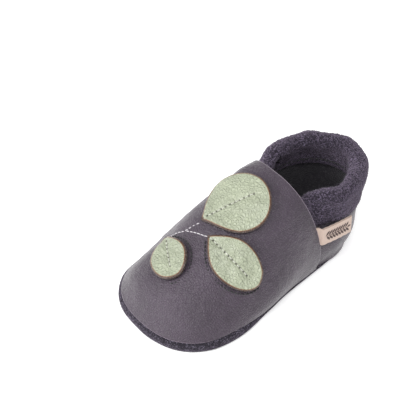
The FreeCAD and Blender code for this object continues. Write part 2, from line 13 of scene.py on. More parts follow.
import bmesh
import bpy
import numpy as np
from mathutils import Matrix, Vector


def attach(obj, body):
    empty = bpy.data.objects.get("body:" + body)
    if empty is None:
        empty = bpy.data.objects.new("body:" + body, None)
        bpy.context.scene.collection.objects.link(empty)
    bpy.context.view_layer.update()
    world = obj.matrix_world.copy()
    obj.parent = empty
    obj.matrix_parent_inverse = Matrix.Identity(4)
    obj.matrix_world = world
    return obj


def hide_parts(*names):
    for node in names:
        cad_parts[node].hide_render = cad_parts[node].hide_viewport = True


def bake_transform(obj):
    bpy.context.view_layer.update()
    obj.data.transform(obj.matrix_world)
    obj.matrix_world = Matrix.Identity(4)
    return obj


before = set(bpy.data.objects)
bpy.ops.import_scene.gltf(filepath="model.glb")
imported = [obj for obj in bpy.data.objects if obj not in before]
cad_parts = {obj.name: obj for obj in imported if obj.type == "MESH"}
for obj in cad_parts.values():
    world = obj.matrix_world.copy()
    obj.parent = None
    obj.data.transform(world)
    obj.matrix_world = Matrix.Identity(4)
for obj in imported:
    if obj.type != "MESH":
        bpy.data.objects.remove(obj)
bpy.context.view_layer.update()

LOG = logging.getLogger("bootie")
Array = np.ndarray
Face = Callable[[Array, Array], Array]
Colour = tuple[float, float, float]
MM = 0.001
STEP = 1e-3         # step of surface parameters, for slopes
UP = np.array([0.0, 0.0, 1.0])
BOOTIE, TAG = "bootie", "tag"


class Slot(Enum):
    """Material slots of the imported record."""

    LEATHER = "leather"
    SUEDE = "suede"
    SOLE_SUEDE = "sole_suede"
    LEAF = "leaf_leather"
    INSOLE = "insole_leather"
    FOAM = "foam"
    ELASTIC = "elastic"
    PALE_THREAD = "pale_thread"
    DARK_THREAD = "dark_thread"
    SEAM_THREAD = "seam_thread"
    TAPE = "tape"


# ---------------------------------------------------------------- number helpers
def clamp(value: Array, low: float = 0.0, high: float = 1.0) -> Array:
    """Limit values to a range."""
    return np.clip(value, low, high)


def ease(t: Array) -> Array:
    """Smooth step from 0 to 1."""
    t = clamp(t)
    return t * t * (3.0 - 2.0 * t)


def smooth(values: Sequence[float], t: Array) -> Array:
    """Smooth curve through evenly spaced values.

    Args:
        values: The values, evenly spaced.
        t: Places on the curve, from 0 to 1.

    Returns:
        The curve's value at each place.
    """
    knots = np.asarray(values, float)
    spans = len(knots) - 1
    place = clamp(np.asarray(t, float)) * spans
    i = np.minimum(place.astype(int), spans - 1)
    f = place - i
    here, after = knots[i], knots[i + 1]
    before = np.where(i > 0, knots[np.maximum(i - 1, 0)], 2.0 * here - after)
    beyond = np.where(i + 2 <= spans, knots[np.minimum(i + 2, spans)], 2.0 * after - here)
    slope = after - before
    bend = 2.0 * before - 5.0 * here + 4.0 * after - beyond
    twist = 3.0 * (here - after) + beyond - before
    return here + 0.5 * f * (slope + f * (bend + f * twist))


def signed_power(value: Array, exponent: Array) -> Array:
    """Power that keeps the sign, for superellipses."""
    return np.sign(value) * np.abs(value) ** exponent


def unit(vectors: Array) -> Array:
    """Vectors scaled to length 1."""
    return vectors / np.maximum(np.linalg.norm(vectors, axis=-1, keepdims=True), 1e-12)


def normals_of(face: Face, u: Array, v: Array) -> Array:
    """Outward unit normals of a face function."""
    along_u = face(u + STEP, v) - face(u - STEP, v)
    along_v = face(u, v + STEP) - face(u, v - STEP)
    return unit(np.cross(along_u, along_v))


def run_lengths(points: Array) -> Array:
    """Length of the run from the first point to each point."""
    return np.concatenate([[0.0], np.cumsum(np.linalg.norm(np.diff(points, axis=0), axis=1))])


def even_places(path: Callable[[Array], Array], low: float, high: float, pitch: float) -> Array:
    """Parameters that lie evenly spaced along a path function.

    Args:
        path: Gives points for parameters.
        low: First parameter.
        high: Last parameter.
        pitch: Distance between places, in millimetres.

    Returns:
        The parameters of the places.
    """
    values = np.linspace(low, high, 600)
    reach = run_lengths(path(values))
    count = max(int(reach[-1] / pitch), 1)
    margin = (reach[-1] - count * pitch) / 2.0
    return np.interp(margin + (np.arange(count) + 0.5) * pitch, reach, values)


@dataclass(frozen=True)
class Ripple:
    """Gentle seeded unevenness of a soft surface."""

    wavelength: float
    height: float
    seed: int
    waves: int = 16
    spread: tuple[float, float] = (0.7, 1.4)

    def at(self, points: Array) -> Array:
        """Height of the unevenness at points, in millimetres.

        Args:
            points: Places to read it at, in millimetres.

        Returns:
            Height at each point.
        """
        rng = np.random.default_rng(self.seed)
        ways = unit(rng.normal(size=(self.waves, 3)))
        pace = rng.uniform(*self.spread, self.waves) * 2.0 * math.pi / self.wavelength
        phase = rng.uniform(0.0, 2.0 * math.pi, self.waves)
        total = np.cos((points @ ways.T) * pace + phase).sum(-1)
        return self.height * total * math.sqrt(2.0 / self.waves)


# ---------------------------------------------------------------- the bootie's form
@dataclass(frozen=True)
class BootieForm:
    """Surfaces that every piece of the bootie follows, in millimetres."""

    sole_length: float = 134.0
    ball_width: float = 73.4
    heel_width: float = 51.0
    vamp_height: float = 56.5
    roll_level: float = 47.5
    collar_overhang: float = 6.2
    toe_round: float = 34.7
    toe_power: float = 2.36
    heel_round: float = 27.0
    heel_seat: float = 41.0
    heel_shift: float = 2.3
    toe_shift: float = 0.4
    rim_height: float = 6.0
    seam_gap: float = 0.3
    seam_inset: float = 1.5
    leather: float = 1.2
    suede: float = 1.2
    layer_gap: float = 0.3
    wing_foot: float = 95.3
    throat: float = 87.0
    ridge_shift: float = -4.0
    ridge_run: tuple[float, ...] = (0.0, 15.0, 31.0, 47.0, 62.0, 76.5)
    ridge_drop: tuple[float, ...] = (0.0, 2.1, 10.1, 18.9, 27.7, 37.4)
    bulge: tuple[float, ...] = (2.2, 3.2, 4.0, 4.4, 3.2, 1.2, 0.0)
    arch_power: tuple[float, ...] = (2.9, 2.6, 2.45, 2.3, 2.2, 2.2, 2.36)
    belly_height: float = 0.31
    heel_bulge: float = 1.0
    roll_width: float = 46.8
    roll_radius: float = 4.8
    end_radius: float = 3.6
    roll_drop: float = 15.0
    collar_run: float = 22.0
    hem_height: float = 33.0
    inner_hem_rise: float = 1.0
    casing_gap: float = 0.2
    wing_clearance: float = 0.8
    outer_tuck: tuple[float, float] = (0.15, -0.45)
    inner_tuck: tuple[float, float] = (-0.08, -0.53)
    roll_start: float = 0.35
    roll_end: float = 0.68
    # How worn leather settles over the rim: how far, how high up, and over what run from the toe.
    overhang: float = 2.4
    overhang_height: float = 13.0
    overhang_run: tuple[float, float] = (30.0, 62.0)
    rim_hidden: float = 1.9
    heel_draw: float = 3.2
    heel_run: tuple[float, float] = (84.0, 112.0)

    @property
    def base(self) -> float:
        """Height of the upper's lower edge."""
        return self.rim_height + self.seam_gap

    @property
    def front_sine(self) -> float:
        """Sine of the angle at which the collar ends, under the vamp."""
        return self.collar_run / (self.heel_round + self.collar_overhang - self.roll_radius)

    @property
    def front_angle(self) -> float:
        """Angle of the collar's outer front end."""
        return -math.asin(self.front_sine)

    def at(self, distance: Array) -> Array:
        """Y of a place given by its distance from the tip of the toe."""
        return distance - (self.sole_length + self.collar_overhang) / 2.0

    @property
    def heel_centre(self) -> float:
        """Y of the centre of the round heel."""
        return self.at(self.sole_length - self.heel_round)

    def waist(self, distance: Array) -> Array:
        """0 at the ball line, 1 from the heel seat on."""
        run = self.sole_length - self.heel_seat - self.toe_round
        return (1.0 - np.cos(math.pi * clamp((distance - self.toe_round) / run))) / 2.0

    def half_width(self, distance: Array) -> Array:
        """Half width of the outsole from the ball line back."""
        return (self.ball_width + (self.heel_width - self.ball_width) * self.waist(distance)) / 2.0

    def centre(self, distance: Array) -> Array:
        """X of the middle of the outsole."""
        tip = np.maximum(1.0 - distance / self.toe_round, 0.0)
        return self.heel_shift * self.waist(distance) + self.toe_shift * tip * tip

    def outline(self, inset: float, fine: int = 1) -> tuple[Array, Array]:
        """Sole outline moved in by inset, and the middle point that belongs to each point.

        Args:
            inset: Distance in from the outline.
            fine: Multiplies the number of points.

        Returns:
            Points round the outline and points on the sole's middle line, both (n, 2).
        """
        toe = np.linspace(0.0, math.pi, 72 * fine + 1)
        run = np.abs(np.sin(toe)) ** (2.0 / self.toe_power)
        far = self.toe_round - (self.toe_round - inset) * run
        side = (self.ball_width / 2.0 - inset) * signed_power(np.cos(toe), 2.0 / self.toe_power)
        middle_toe = np.full_like(far, self.at(self.toe_round))
        seat = self.sole_length - self.heel_round
        waist = np.linspace(self.toe_round, seat, 54 * fine + 1)[1:-1]
        heel = np.linspace(math.pi, 0.0, 60 * fine + 1)
        heel_y = self.heel_centre
        heel_x = self.heel_shift + (self.heel_width / 2.0 - inset) * np.cos(heel)
        x = np.concatenate([self.centre(far) + side,
                            self.centre(waist) - self.half_width(waist) + inset, heel_x,
                            (self.centre(waist) + self.half_width(waist) - inset)[::-1]])
        y = np.concatenate([self.at(far), self.at(waist),
                            heel_y + (self.heel_round - inset) * np.sin(heel),
                            self.at(waist)[::-1]])
        middle_y = np.concatenate([middle_toe, self.at(waist),
                                   np.full_like(heel, heel_y), self.at(waist)[::-1]])
        far_back = middle_y + (self.sole_length + self.collar_overhang) / 2.0
        return np.stack([x, y], -1), np.stack([self.centre(far_back), middle_y], -1)

    def behind_ball(self, y: Array) -> Array:
        """0 round the toe, 1 from the waist back, where the upper hangs over the rim."""
        low, high = self.overhang_run
        return ease((y - self.at(low)) / (high - low))

    def round_heel(self, y: Array) -> Array:
        """0 in front of the heel, 1 round the back of it."""
        start, end = self.heel_run
        return ease((y - self.at(start)) / (end - start))

    def settled(self, points: Array) -> Array:
        """Points of the upper, its lower edge hanging over the rim behind the ball.

        Args:
            points: Points on the upper, in millimetres.

        Returns:
            The same points, moved where they hang.
        """
        low = 1.0 - ease((points[..., 2] - self.base) / self.overhang_height)
        drawn = self.heel_draw * low * low * self.round_heel(points[..., 1])
        middle = np.stack([np.full_like(drawn, self.heel_shift),
                           np.minimum(points[..., 1], self.heel_centre)], -1)
        moved = points.copy()
        moved[..., :2] += unit(middle - points[..., :2]) * drawn[..., None]
        moved[..., 2] -= self.overhang * low * self.behind_ball(points[..., 1])
        return moved

    def belly(self, bulge: Array, rise: Array) -> Array:
        """Sideways bulge of a row at a share of its height."""
        return bulge * np.sin(math.pi / 2.0 * np.minimum(rise / self.belly_height, 1.0))

    def throat_row(self, height: Array) -> tuple[Array, Array]:
        """Middle and half width of the vamp's throat edge at a height.

        Args:
            height: Heights above the floor, in millimetres.

        Returns:
            Middle and half width at each height.
        """
        rise = clamp((height - self.base) / (self.vamp_height - self.base))
        power = self.arch_power[0]
        side = (1.0 - rise ** power) ** (1.0 / power)
        half = self.half_width(self.wing_foot) - self.seam_inset + self.belly(self.bulge[0], rise)
        return self.centre(self.wing_foot) + self.ridge_shift * rise * rise, half * side

    def vamp(self, a: Array, s: Array) -> Array:
        """Outer face of the vamp.

        Args:
            a: Over the foot, from the outer seam (0) to the inner seam (1).
            s: From the raw throat edge (0) to the toe seam (1).

        Returns:
            Points of the face, (..., 3).
        """
        phi, s = math.pi * clamp(a), clamp(s)
        power = smooth(self.arch_power, s)
        side = signed_power(np.cos(phi), 2.0 / power)
        rise = np.abs(np.sin(phi)) ** (2.0 / power)
        foot = self.wing_foot + (self.toe_round - self.wing_foot) * s
        ridge = self.throat - smooth(self.ridge_run + (self.throat - self.seam_inset,), s)
        top = self.vamp_height - smooth(self.ridge_drop + (self.vamp_height - self.base,), s)
        row = foot + (ridge - foot) * rise ** (2.0 - s)
        half = self.half_width(foot) - self.seam_inset + self.belly(smooth(self.bulge, s), rise)
        x = self.centre(row) + self.ridge_shift * rise * rise * (1.0 - s) + half * side
        return np.stack([x, self.at(row), self.base + (top - self.base) * rise], -1)

    def roll_height(self, angle: Array) -> Array:
        """Height of the middle of the roll, round the heel."""
        front = (1.0 - np.sin(angle)) / (1.0 + self.front_sine)
        lift = self.vamp_height - self.roll_drop - self.roll_level
        return self.roll_level + lift * front * front

    def level(self, angle: Array, height: Array) -> Array:
        """Share of the way from sole seam to middle of the roll at a height."""
        return (height - self.base) / (self.roll_height(angle) - self.base)

    def tuck(self, angle: Array) -> Array:
        """0 round the heel, rising to 1 at the ends that lie under the vamp.

        Args:
            angle: Angles round the heel.

        Returns:
            Share of the tuck at each angle.
        """
        outer = np.cos(angle) > 0.0
        start = np.where(outer, self.outer_tuck[0], self.inner_tuck[0])
        end = np.where(outer, self.outer_tuck[1], self.inner_tuck[1])
        return ease((start - np.sin(angle)) / (start - end))

    def radius(self, angle: Array) -> Array:
        """Radius of the soft roll, smaller where the vamp presses on it."""
        return self.roll_radius + (self.end_radius - self.roll_radius) * self.tuck(angle)

    def half_thickness(self, angle: Array, h: Array) -> Array:
        """Half thickness of the heel end at a share of its height.

        Args:
            angle: Angles round the heel.
            h: Shares of the heel's height.

        Returns:
            Half thickness at each place, in millimetres.
        """
        hem = self.level(angle, self.hem_height)
        single = self.leather / 2.0
        legs = single + self.casing_gap + self.suede
        low = single + (legs - single) * ease(h / hem)
        high = legs + (self.radius(angle) - legs) * clamp((h - hem) / (1.0 - hem)) ** 1.5
        return np.where(h < hem, low, high)

    def heel(self, angle: Array, h: Array) -> Array:
        """Middle face of the heel end.

        Args:
            angle: 0 on the outer side, a quarter turn at the back of the heel.
            h: From the sole seam (0) to the middle of the roll (1).

        Returns:
            Points of the face, (..., 3).
        """
        angle, h = np.broadcast_arrays(np.asarray(angle, float), np.asarray(h, float))
        c, r = np.cos(angle), np.sin(angle)
        hump = 4.0 * h * (1.0 - h)
        foot = self.seam_inset + self.leather / 2.0
        half = self.heel_width / 2.0 - foot
        half = half + (self.roll_width / 2.0 - half) * h + self.heel_bulge * hump
        roll_back = self.heel_round + self.collar_overhang - self.roll_radius
        back = self.heel_round - foot
        back = back + (roll_back - back) * h + self.heel_bulge * hump
        z = self.base + (self.roll_height(angle) - self.base) * h
        middle, room = self.throat_row(z)
        room = room - (self.leather + self.layer_gap + self.half_thickness(angle, h)
                       + self.wing_clearance * h)
        side = np.where(r >= 0.0, c, np.sign(c))
        run = np.where(r >= 0.0, back, roll_back)
        x = self.heel_shift + half * side
        x = x + (middle + room * side - x) * self.tuck(angle)
        return np.stack([x, self.heel_centre + run * r, z], -1)

    def collar(self, angle: Array, v: Array) -> Array:
        """Outer face of the collar casing.

        Args:
            angle: As for the heel end.
            v: From the outer hem (0) over the roll to the inner hem (1).

        Returns:
            Points of the face, (..., 3).
        """
        angle, v = np.broadcast_arrays(np.asarray(angle, float), np.asarray(v, float))
        one = np.ones_like(v)
        ahead, behind = self.heel(angle + STEP, one), self.heel(angle - STEP, one)
        out = unit(np.cross(ahead - behind, UP))
        turn = math.pi * (v - self.roll_start) / (self.roll_end - self.roll_start)
        wide = self.radius(angle)[..., None]
        over = self.heel(angle, one) + (out * np.cos(turn)[..., None]
                                        + UP * np.sin(turn)[..., None]) * wide
        hem = self.level(angle, self.hem_height)
        h_out = hem + (1.0 - hem) * v / self.roll_start
        leg_out = self.heel(angle, h_out) + out * self.half_thickness(angle, h_out)[..., None]
        hem = self.level(angle, self.hem_height + self.inner_hem_rise)
        h_in = 1.0 + (hem - 1.0) * (v - self.roll_end) / (1.0 - self.roll_end)
        leg_in = self.heel(angle, h_in) - out * self.half_thickness(angle, h_in)[..., None]
        low, high = (v < self.roll_start)[..., None], (v > self.roll_end)[..., None]
        return np.where(low, leg_out, np.where(high, leg_in, over))

    def collar_angles(self, count: int) -> Array:
        """Angles round the heel from one end of the collar to the other."""
        return np.linspace(self.front_angle, math.pi - self.front_angle, count)


FORM = BootieForm()


def placed(name: str, data: bpy.types.ID) -> bpy.types.Object:
    """A new object in the scene, at the origin."""
    thing = bpy.data.objects.new(name, data)
    bpy.context.scene.collection.objects.link(thing)
    return thing


# ---------------------------------------------------------------- mesh drafts
class Draft:
    """Vertices, faces and named vertex values of one piece, in millimetres."""

    def __init__(self, name: str) -> None:
        """Start an empty draft.

        Args:
            name: Name of the object that it becomes.
        """
        self.name = name
        self.points: list[Array] = []
        self.faces: list[tuple[int, ...]] = []
        self.values: dict[str, list[Array]] = {}
        self.plan: list[Array] = []
        self.count = 0

    def add(self, points: Array, plan: Array, **values: Array) -> int:
        """Add vertices.

        Args:
            points: Places, (n, 3), in millimetres.
            plan: Flat pattern coordinates for the piece's UV map, (n, 2).
            **values: Named values, one for each vertex.

        Returns:
            Index of the first new vertex.
        """
        start = self.count
        self.points.append(points)
        self.plan.append(plan)
        for key in sorted(set(self.values) | set(values)):
            rows = self.values.setdefault(key, [np.zeros(start)] if start else [])
            rows.append(np.asarray(values.get(key, np.zeros(len(points))), float))
        self.count += len(points)
        return start

    def grid(self, points: Array, plan: Array, around: bool = False, **values: Array) -> int:
        """Add a grid of quads over (rows, columns) of points.

        Args:
            points: Places, (rows, columns, 3).
            plan: Flat pattern coordinates, (rows, columns, 2).
            around: Whether the last column joins the first.
            **values: Named values, (rows, columns).

        Returns:
            Index of the first new vertex.
        """
        rows, columns = points.shape[:2]
        flat = {key: np.broadcast_to(value, (rows, columns)).reshape(-1)
                for key, value in values.items()}
        start = self.add(points.reshape(-1, 3), plan.reshape(-1, 2), **flat)
        for i in range(rows - 1):
            low, high = start + i * columns, start + (i + 1) * columns
            for j in range(columns if around else columns - 1):
                k = (j + 1) % columns
                self.faces.append((low + j, high + j, high + k, low + k))
        return start

    def build(self, merge: float = 0.0) -> bpy.types.Object:
        """Make the Blender object, in metres, at the origin.

        Args:
            merge: Distance within which vertices are joined, in millimetres; 0 for none.

        Returns:
            The new object.
        """
        mesh = bpy.data.meshes.new(self.name)
        mesh.from_pydata((np.concatenate(self.points) * MM).tolist(), [], self.faces)
        for key, rows in self.values.items():
            mesh.attributes.new(key, "FLOAT", "POINT").data.foreach_set(
                "value", np.concatenate(rows).astype(np.float32))
        flat = np.concatenate(self.plan) * MM
        corners = np.zeros(len(mesh.loops), np.int32)
        mesh.loops.foreach_get("vertex_index", corners)
        mesh.uv_layers.new(name="pattern").data.foreach_set(
            "uv", flat[corners].astype(np.float32).reshape(-1))
        mesh.shade_smooth()
        thing = placed(self.name, mesh)
        if merge:
            weld(thing, merge * MM)
        return thing


def weld(thing: bpy.types.Object, distance: float) -> None:
    """Join vertices that lie within a distance, and drop faces left without area.

    Args:
        thing: Object whose mesh is mended.
        distance: Distance within which vertices are joined.
    """
    work = bmesh.new()
    work.from_mesh(thing.data)
    bmesh.ops.remove_doubles(work, verts=work.verts, dist=distance)
    bmesh.ops.dissolve_degenerate(work, edges=work.edges, dist=distance / 10.0)
    work.to_mesh(thing.data)
    work.free()


def laminate(draft: Draft, outer: Array, inner: Array, plan: Array, arc: int = 3,
             **values: Array) -> None:
    """Add a closed sheet between two skins, its long edges rounded.

    Args:
        draft: The draft to add to.
        outer: Outer skin, (rows, columns, 3).
        inner: Inner skin, (rows, columns, 3).
        plan: Flat pattern coordinates, (rows, columns, 2).
        arc: Points on each rounded edge.
        **values: Named values of the skins; "edge" and "inside" are added here.
    """
    rows, columns = outer.shape[:2]
    turns = math.pi * np.arange(1, arc + 1) / (arc + 1)

    def rounding(skin: Array, back: Array, way: Array) -> Array:
        """Half round that joins two skins at an edge.

        Args:
            skin: Edge of one skin.
            back: Edge of the other skin.
            way: Directions out of the edge.

        Returns:
            Points round each place of the edge.
        """
        middle, half = (skin + back) / 2.0, (skin - back) / 2.0
        reach = np.linalg.norm(half, axis=-1, keepdims=True)
        return np.stack([middle + half * math.cos(t) + unit(way) * reach * math.sin(t)
                         for t in turns], 1)

    last = rounding(outer[:, -1], inner[:, -1], outer[:, -1] - outer[:, -2])
    first = rounding(inner[:, 0], outer[:, 0], outer[:, 0] - outer[:, 1])
    ring = np.concatenate([outer, last, inner[:, ::-1], first], 1)
    flat = np.concatenate([plan, np.repeat(plan[:, -1:], arc, 1), plan[:, ::-1],
                           np.repeat(plan[:, :1], arc, 1)], 1)
    edge = np.concatenate([np.zeros(columns), np.ones(arc), np.zeros(columns), np.ones(arc)])
    inside = np.concatenate([np.zeros(columns + arc), np.ones(columns), np.zeros(arc)])
    full = {"edge": edge[None], "inside": inside[None]}
    for key, value in values.items():
        value = np.broadcast_to(value, (rows, columns))
        full[key] = np.concatenate([value, np.repeat(value[:, -1:], arc, 1), value[:, ::-1],
                                    np.repeat(value[:, :1], arc, 1)], 1)
    start = draft.grid(ring, flat, around=True, **full)
    width = ring.shape[1]
    for row, flip in ((0, False), (rows - 1, True)):
        base = start + row * width
        back = columns + arc + columns - 1
        caps = [(j, j + 1, back - j - 1, back - j) for j in range(columns - 1)]
        caps.append(tuple(range(columns - 1, columns + arc + 1)))
        caps.append(tuple(range(back, width)) + (0,))
        for cap in caps:
            spots = tuple(base + j for j in cap)
            draft.faces.append(spots[::-1] if flip else spots)


def sheet_of(draft: Draft, face: Face, u: Array, v: Array, inner: float, outer: float,
             shape: Callable[[Array, Array, Array], Array] | None = None,
             floor: float | None = None, **values: Array) -> None:
    """Add a sheet of leather over a face function.

    Args:
        draft: The draft to add to.
        face: The face function.
        u: Parameters of the rows.
        v: Parameters of the columns.
        inner: Offset of the inner skin, in millimetres.
        outer: Offset of the outer skin.
        shape: Extra offset of both skins, from the parameters and points.
        floor: Lowest height of any point, or None.
        **values: Named values for the vertices.
    """
    uu, vv = np.meshgrid(u, v, indexing="ij")
    points, ways = face(uu, vv), normals_of(face, uu, vv)
    lift = shape(uu, vv, points)[..., None] if shape else 0.0
    skins = [points + ways * (offset + lift) for offset in (inner, outer)]
    if floor is not None:
        for skin in skins:
            skin[..., 2] = np.maximum(skin[..., 2], floor)
        skins = [FORM.settled(skin) for skin in skins]
    steps_u = np.linalg.norm(np.diff(points, axis=0), axis=-1).mean(1)
    steps_v = np.linalg.norm(np.diff(points, axis=1), axis=-1).mean(0)
    flat_u = np.concatenate([[0.0], np.cumsum(steps_u)])
    flat_v = np.concatenate([[0.0], np.cumsum(steps_v)])
    plan = np.stack(np.meshgrid(flat_u, flat_v, indexing="ij"), -1)
    laminate(draft, skins[1], skins[0], plan, **values)


# ---------------------------------------------------------------- material helpers
class Recipe:
    """Node tree of one material, with short calls for its nodes."""

    MIX_SHARE, MIX_FIRST, MIX_SECOND, MIX_RESULT = 0, 6, 7, 2   # a mix node's colour sockets

    def __init__(self, name: str) -> None:
        """Start a material with a Principled shader.

        Args:
            name: Name of the material.
        """
        self.material = bpy.data.materials.new(name)
        self.material.use_nodes = True
        self.tree = self.material.node_tree
        self.tree.nodes.clear()
        self.shader = self.node("ShaderNodeBsdfPrincipled")
        output = self.node("ShaderNodeOutputMaterial")
        self.tree.links.new(self.shader.outputs["BSDF"], output.inputs["Surface"])
        self.place = self.node("ShaderNodeTexCoord").outputs["Object"]

    def node(self, kind: str, **settings: object) -> bpy.types.Node:
        """Add a node and set its properties.

        Args:
            kind: Type of node.
            settings: Its properties.

        Returns:
            The new node.
        """
        made = self.tree.nodes.new(kind)
        for key, value in settings.items():
            setattr(made, key, value)
        return made

    def feed(self, socket: bpy.types.NodeSocket, value: object) -> None:
        """Link a socket to another, or set its value.

        Args:
            socket: Input socket.
            value: Socket, number or colour to give it.
        """
        if isinstance(value, bpy.types.NodeSocket):
            self.tree.links.new(value, socket)
        elif isinstance(value, tuple) and len(value) == 3 and socket.type == "RGBA":
            socket.default_value = (*value, 1.0)
        else:
            socket.default_value = value

    def noise_node(self, size: float, detail: float) -> bpy.types.Node:
        """Noise node whose features are about size millimetres.

        Args:
            size: Size of its features.
            detail: Number of finer layers.

        Returns:
            The new node.
        """
        made = self.node("ShaderNodeTexNoise")
        self.feed(made.inputs["Vector"], self.place)
        made.inputs["Scale"].default_value = 1.0 / (size * MM)
        made.inputs["Detail"].default_value = detail
        return made

    def noise(self, size: float, detail: float = 3.0, rough: float = 0.5) -> bpy.types.NodeSocket:
        """Noise whose features are about size millimetres."""
        made = self.noise_node(size, detail)
        made.inputs["Roughness"].default_value = rough
        return made.outputs["Fac"]

    def cells(self, size: float, place: bpy.types.NodeSocket,
              feature: str = "DISTANCE_TO_EDGE") -> bpy.types.NodeSocket:
        """Cell pattern with cells about size millimetres wide.

        Args:
            size: Width of a cell.
            place: Coordinates that it reads.
            feature: Distance that the cells give.

        Returns:
            Distance socket.
        """
        made = self.node("ShaderNodeTexVoronoi", feature=feature)
        self.feed(made.inputs["Vector"], place)
        made.inputs["Scale"].default_value = 1.0 / (size * MM)
        return made.outputs["Distance"]

    def stirred(self, size: float, amount: float) -> bpy.types.NodeSocket:
        """Object coordinates stirred by noise, so that cells aren't regular.

        Args:
            size: Size of the noise, in millimetres.
            amount: Length of the stir, in millimetres.

        Returns:
            Socket of the stirred coordinates.
        """
        made = self.noise_node(size, 2.0)
        scaled = self.node("ShaderNodeVectorMath", operation="SCALE")
        self.feed(scaled.inputs[0], made.outputs["Color"])
        scaled.inputs["Scale"].default_value = amount * MM
        total = self.node("ShaderNodeVectorMath", operation="ADD")
        self.feed(total.inputs[0], self.place)
        self.feed(total.inputs[1], scaled.outputs[0])
        return total.outputs[0]

    def ramp(self, value: object, low: float, high: float, start: float = 0.0,
             end: float = 1.0) -> bpy.types.NodeSocket:
        """Smooth change from start to end as value goes from low to high.

        Args:
            value: Socket or number that drives it.
            low: Value at the start.
            high: Value at the end.
            start: Result at the low value.
            end: Result at the high value.

        Returns:
            Socket of the result.
        """
        made = self.node("ShaderNodeMapRange", interpolation_type="SMOOTHSTEP")
        self.feed(made.inputs["Value"], value)
        for key, number in (("From Min", low), ("From Max", high),
                            ("To Min", start), ("To Max", end)):
            made.inputs[key].default_value = number
        return made.outputs["Result"]

    def mix(self, share: object, first: object, second: object) -> bpy.types.NodeSocket:
        """Colour mixed from first to second.

        Args:
            share: Share of the second colour.
            first: First colour.
            second: Second colour.

        Returns:
            Socket of the mixed colour.
        """
        made = self.node("ShaderNodeMix", data_type="RGBA")
        self.feed(made.inputs[self.MIX_SHARE], share)
        self.feed(made.inputs[self.MIX_FIRST], first)
        self.feed(made.inputs[self.MIX_SECOND], second)
        return made.outputs[self.MIX_RESULT]

    def calc(self, operation: str, first: object, second: object) -> bpy.types.NodeSocket:
        """Simple sum on two numbers.

        Args:
            operation: Name of the sum.
            first: First number.
            second: Second number.

        Returns:
            Socket of the result.
        """
        made = self.node("ShaderNodeMath", operation=operation)
        self.feed(made.inputs[0], first)
        self.feed(made.inputs[1], second)
        return made.outputs[0]

    def less_than_one(self, value: object) -> bpy.types.NodeSocket:
        """What is left of 1 after a number is taken away."""
        return self.calc("SUBTRACT", 1.0, value)

    def value(self, name: str) -> bpy.types.NodeSocket:
        """A named vertex value."""
        return self.node("ShaderNodeAttribute", attribute_name=name).outputs["Fac"]

    def pattern(self) -> bpy.types.NodeSocket:
        """The piece's own flat pattern coordinates, in metres."""
        return self.node("ShaderNodeUVMap", uv_map="pattern").outputs["UV"]

    def relief(self, *layers: tuple[object, float]) -> None:
        """Bump from height layers, each with its depth in millimetres.

        Args:
            layers: Pairs of a height and its depth.
        """
        normal: object = None
        for height, depth in layers:
            made = self.node("ShaderNodeBump")
            self.feed(made.inputs["Height"], height)
            made.inputs["Distance"].default_value = depth * MM
            if normal is not None:
                self.feed(made.inputs["Normal"], normal)
            normal = made.outputs["Normal"]
        self.feed(self.shader.inputs["Normal"], normal)

    def shine(self, **numbers: object) -> None:
        """Set the shader's own sockets, by name with spaces as underscores."""
        for key, value in numbers.items():
            self.feed(self.shader.inputs[key.replace("_", " ")], value)


def tint(colour: Colour, by: float) -> Colour:
    """A colour made lighter or darker."""
    return tuple(min(c * by, 1.0) for c in colour)


@dataclass(frozen=True)
class LeatherFinish:
    """Grained leather with a dyed face, pale or dark cut edges and a napped back."""

    name: str
    colour: Colour
    cut: Colour
    back: Colour
    grain: float
    depth: float
    roughness: float
    mottle: float = 0.18
    # Share of painted shade in the grain's valleys.
    valley_shade: float = 0.25
    sheen: float = 0.1
    coat: float = 0.0
    fine: float = 0.45
    rim: Colour | None = None
    # Widths of pores, creases and stirring as shares of the grain, and of the clouds in mm.
    pore_share: float = 0.35
    crease_share: float = 3.4
    stir_share: float = 2.2
    cloud: float = 16.0

    def make(self) -> bpy.types.Material:
        """Build the material.

        Returns:
            The new material.
        """
        r = Recipe(self.name)
        stirred = r.stirred(self.grain * self.stir_share, self.grain * 0.9)
        pebble = r.ramp(r.cells(self.grain, stirred), 0.0, 0.32)
        fine = r.noise(self.grain * self.pore_share, 4.0, 0.6)
        broad = r.noise(self.cloud, 3.0)
        crease = r.ramp(r.noise(self.grain * self.crease_share, 5.0, 0.62), 0.35, 0.65)
        face = r.mix(r.ramp(broad, 0.3, 0.7), tint(self.colour, 1.0 - self.mottle),
                     tint(self.colour, 1.0 + self.mottle))
        # The grain's valleys are darkened towards 0.45 of the colour: painted shade in the
        # valleys.
        valley_shade_share = r.calc("MULTIPLY", r.less_than_one(pebble), self.valley_shade)
        face = r.mix(valley_shade_share, face, tint(self.colour, 0.45))
        face = r.mix(r.calc("MULTIPLY", crease, 0.12), face, tint(self.colour, 1.5))
        if self.rim:
            face = r.mix(r.value("rim"), face, self.rim)
            # Needle holes of the midrib are painted near black: painted shade in the holes.
            face = r.mix(r.value("hole"), face, tint(self.cut, 0.3))
        back = r.mix(fine, tint(self.back, 0.8), tint(self.back, 1.2))
        face = r.mix(r.value("inside"), face, back)
        edge = r.mix(r.noise(0.5, 4.0, 0.7), tint(self.cut, 0.75), tint(self.cut, 1.25))
        face = r.mix(r.value("edge"), face, edge)
        r.relief((pebble, self.depth), (crease, self.depth * 0.9), (fine, self.depth * self.fine))
        r.shine(Base_Color=face, Sheen_Weight=self.sheen, Sheen_Roughness=0.5,
                Coat_Weight=self.coat, Coat_Roughness=0.35,
                Roughness=r.ramp(fine, 0.3, 0.7, self.roughness - 0.05, self.roughness + 0.07))
        return r.material


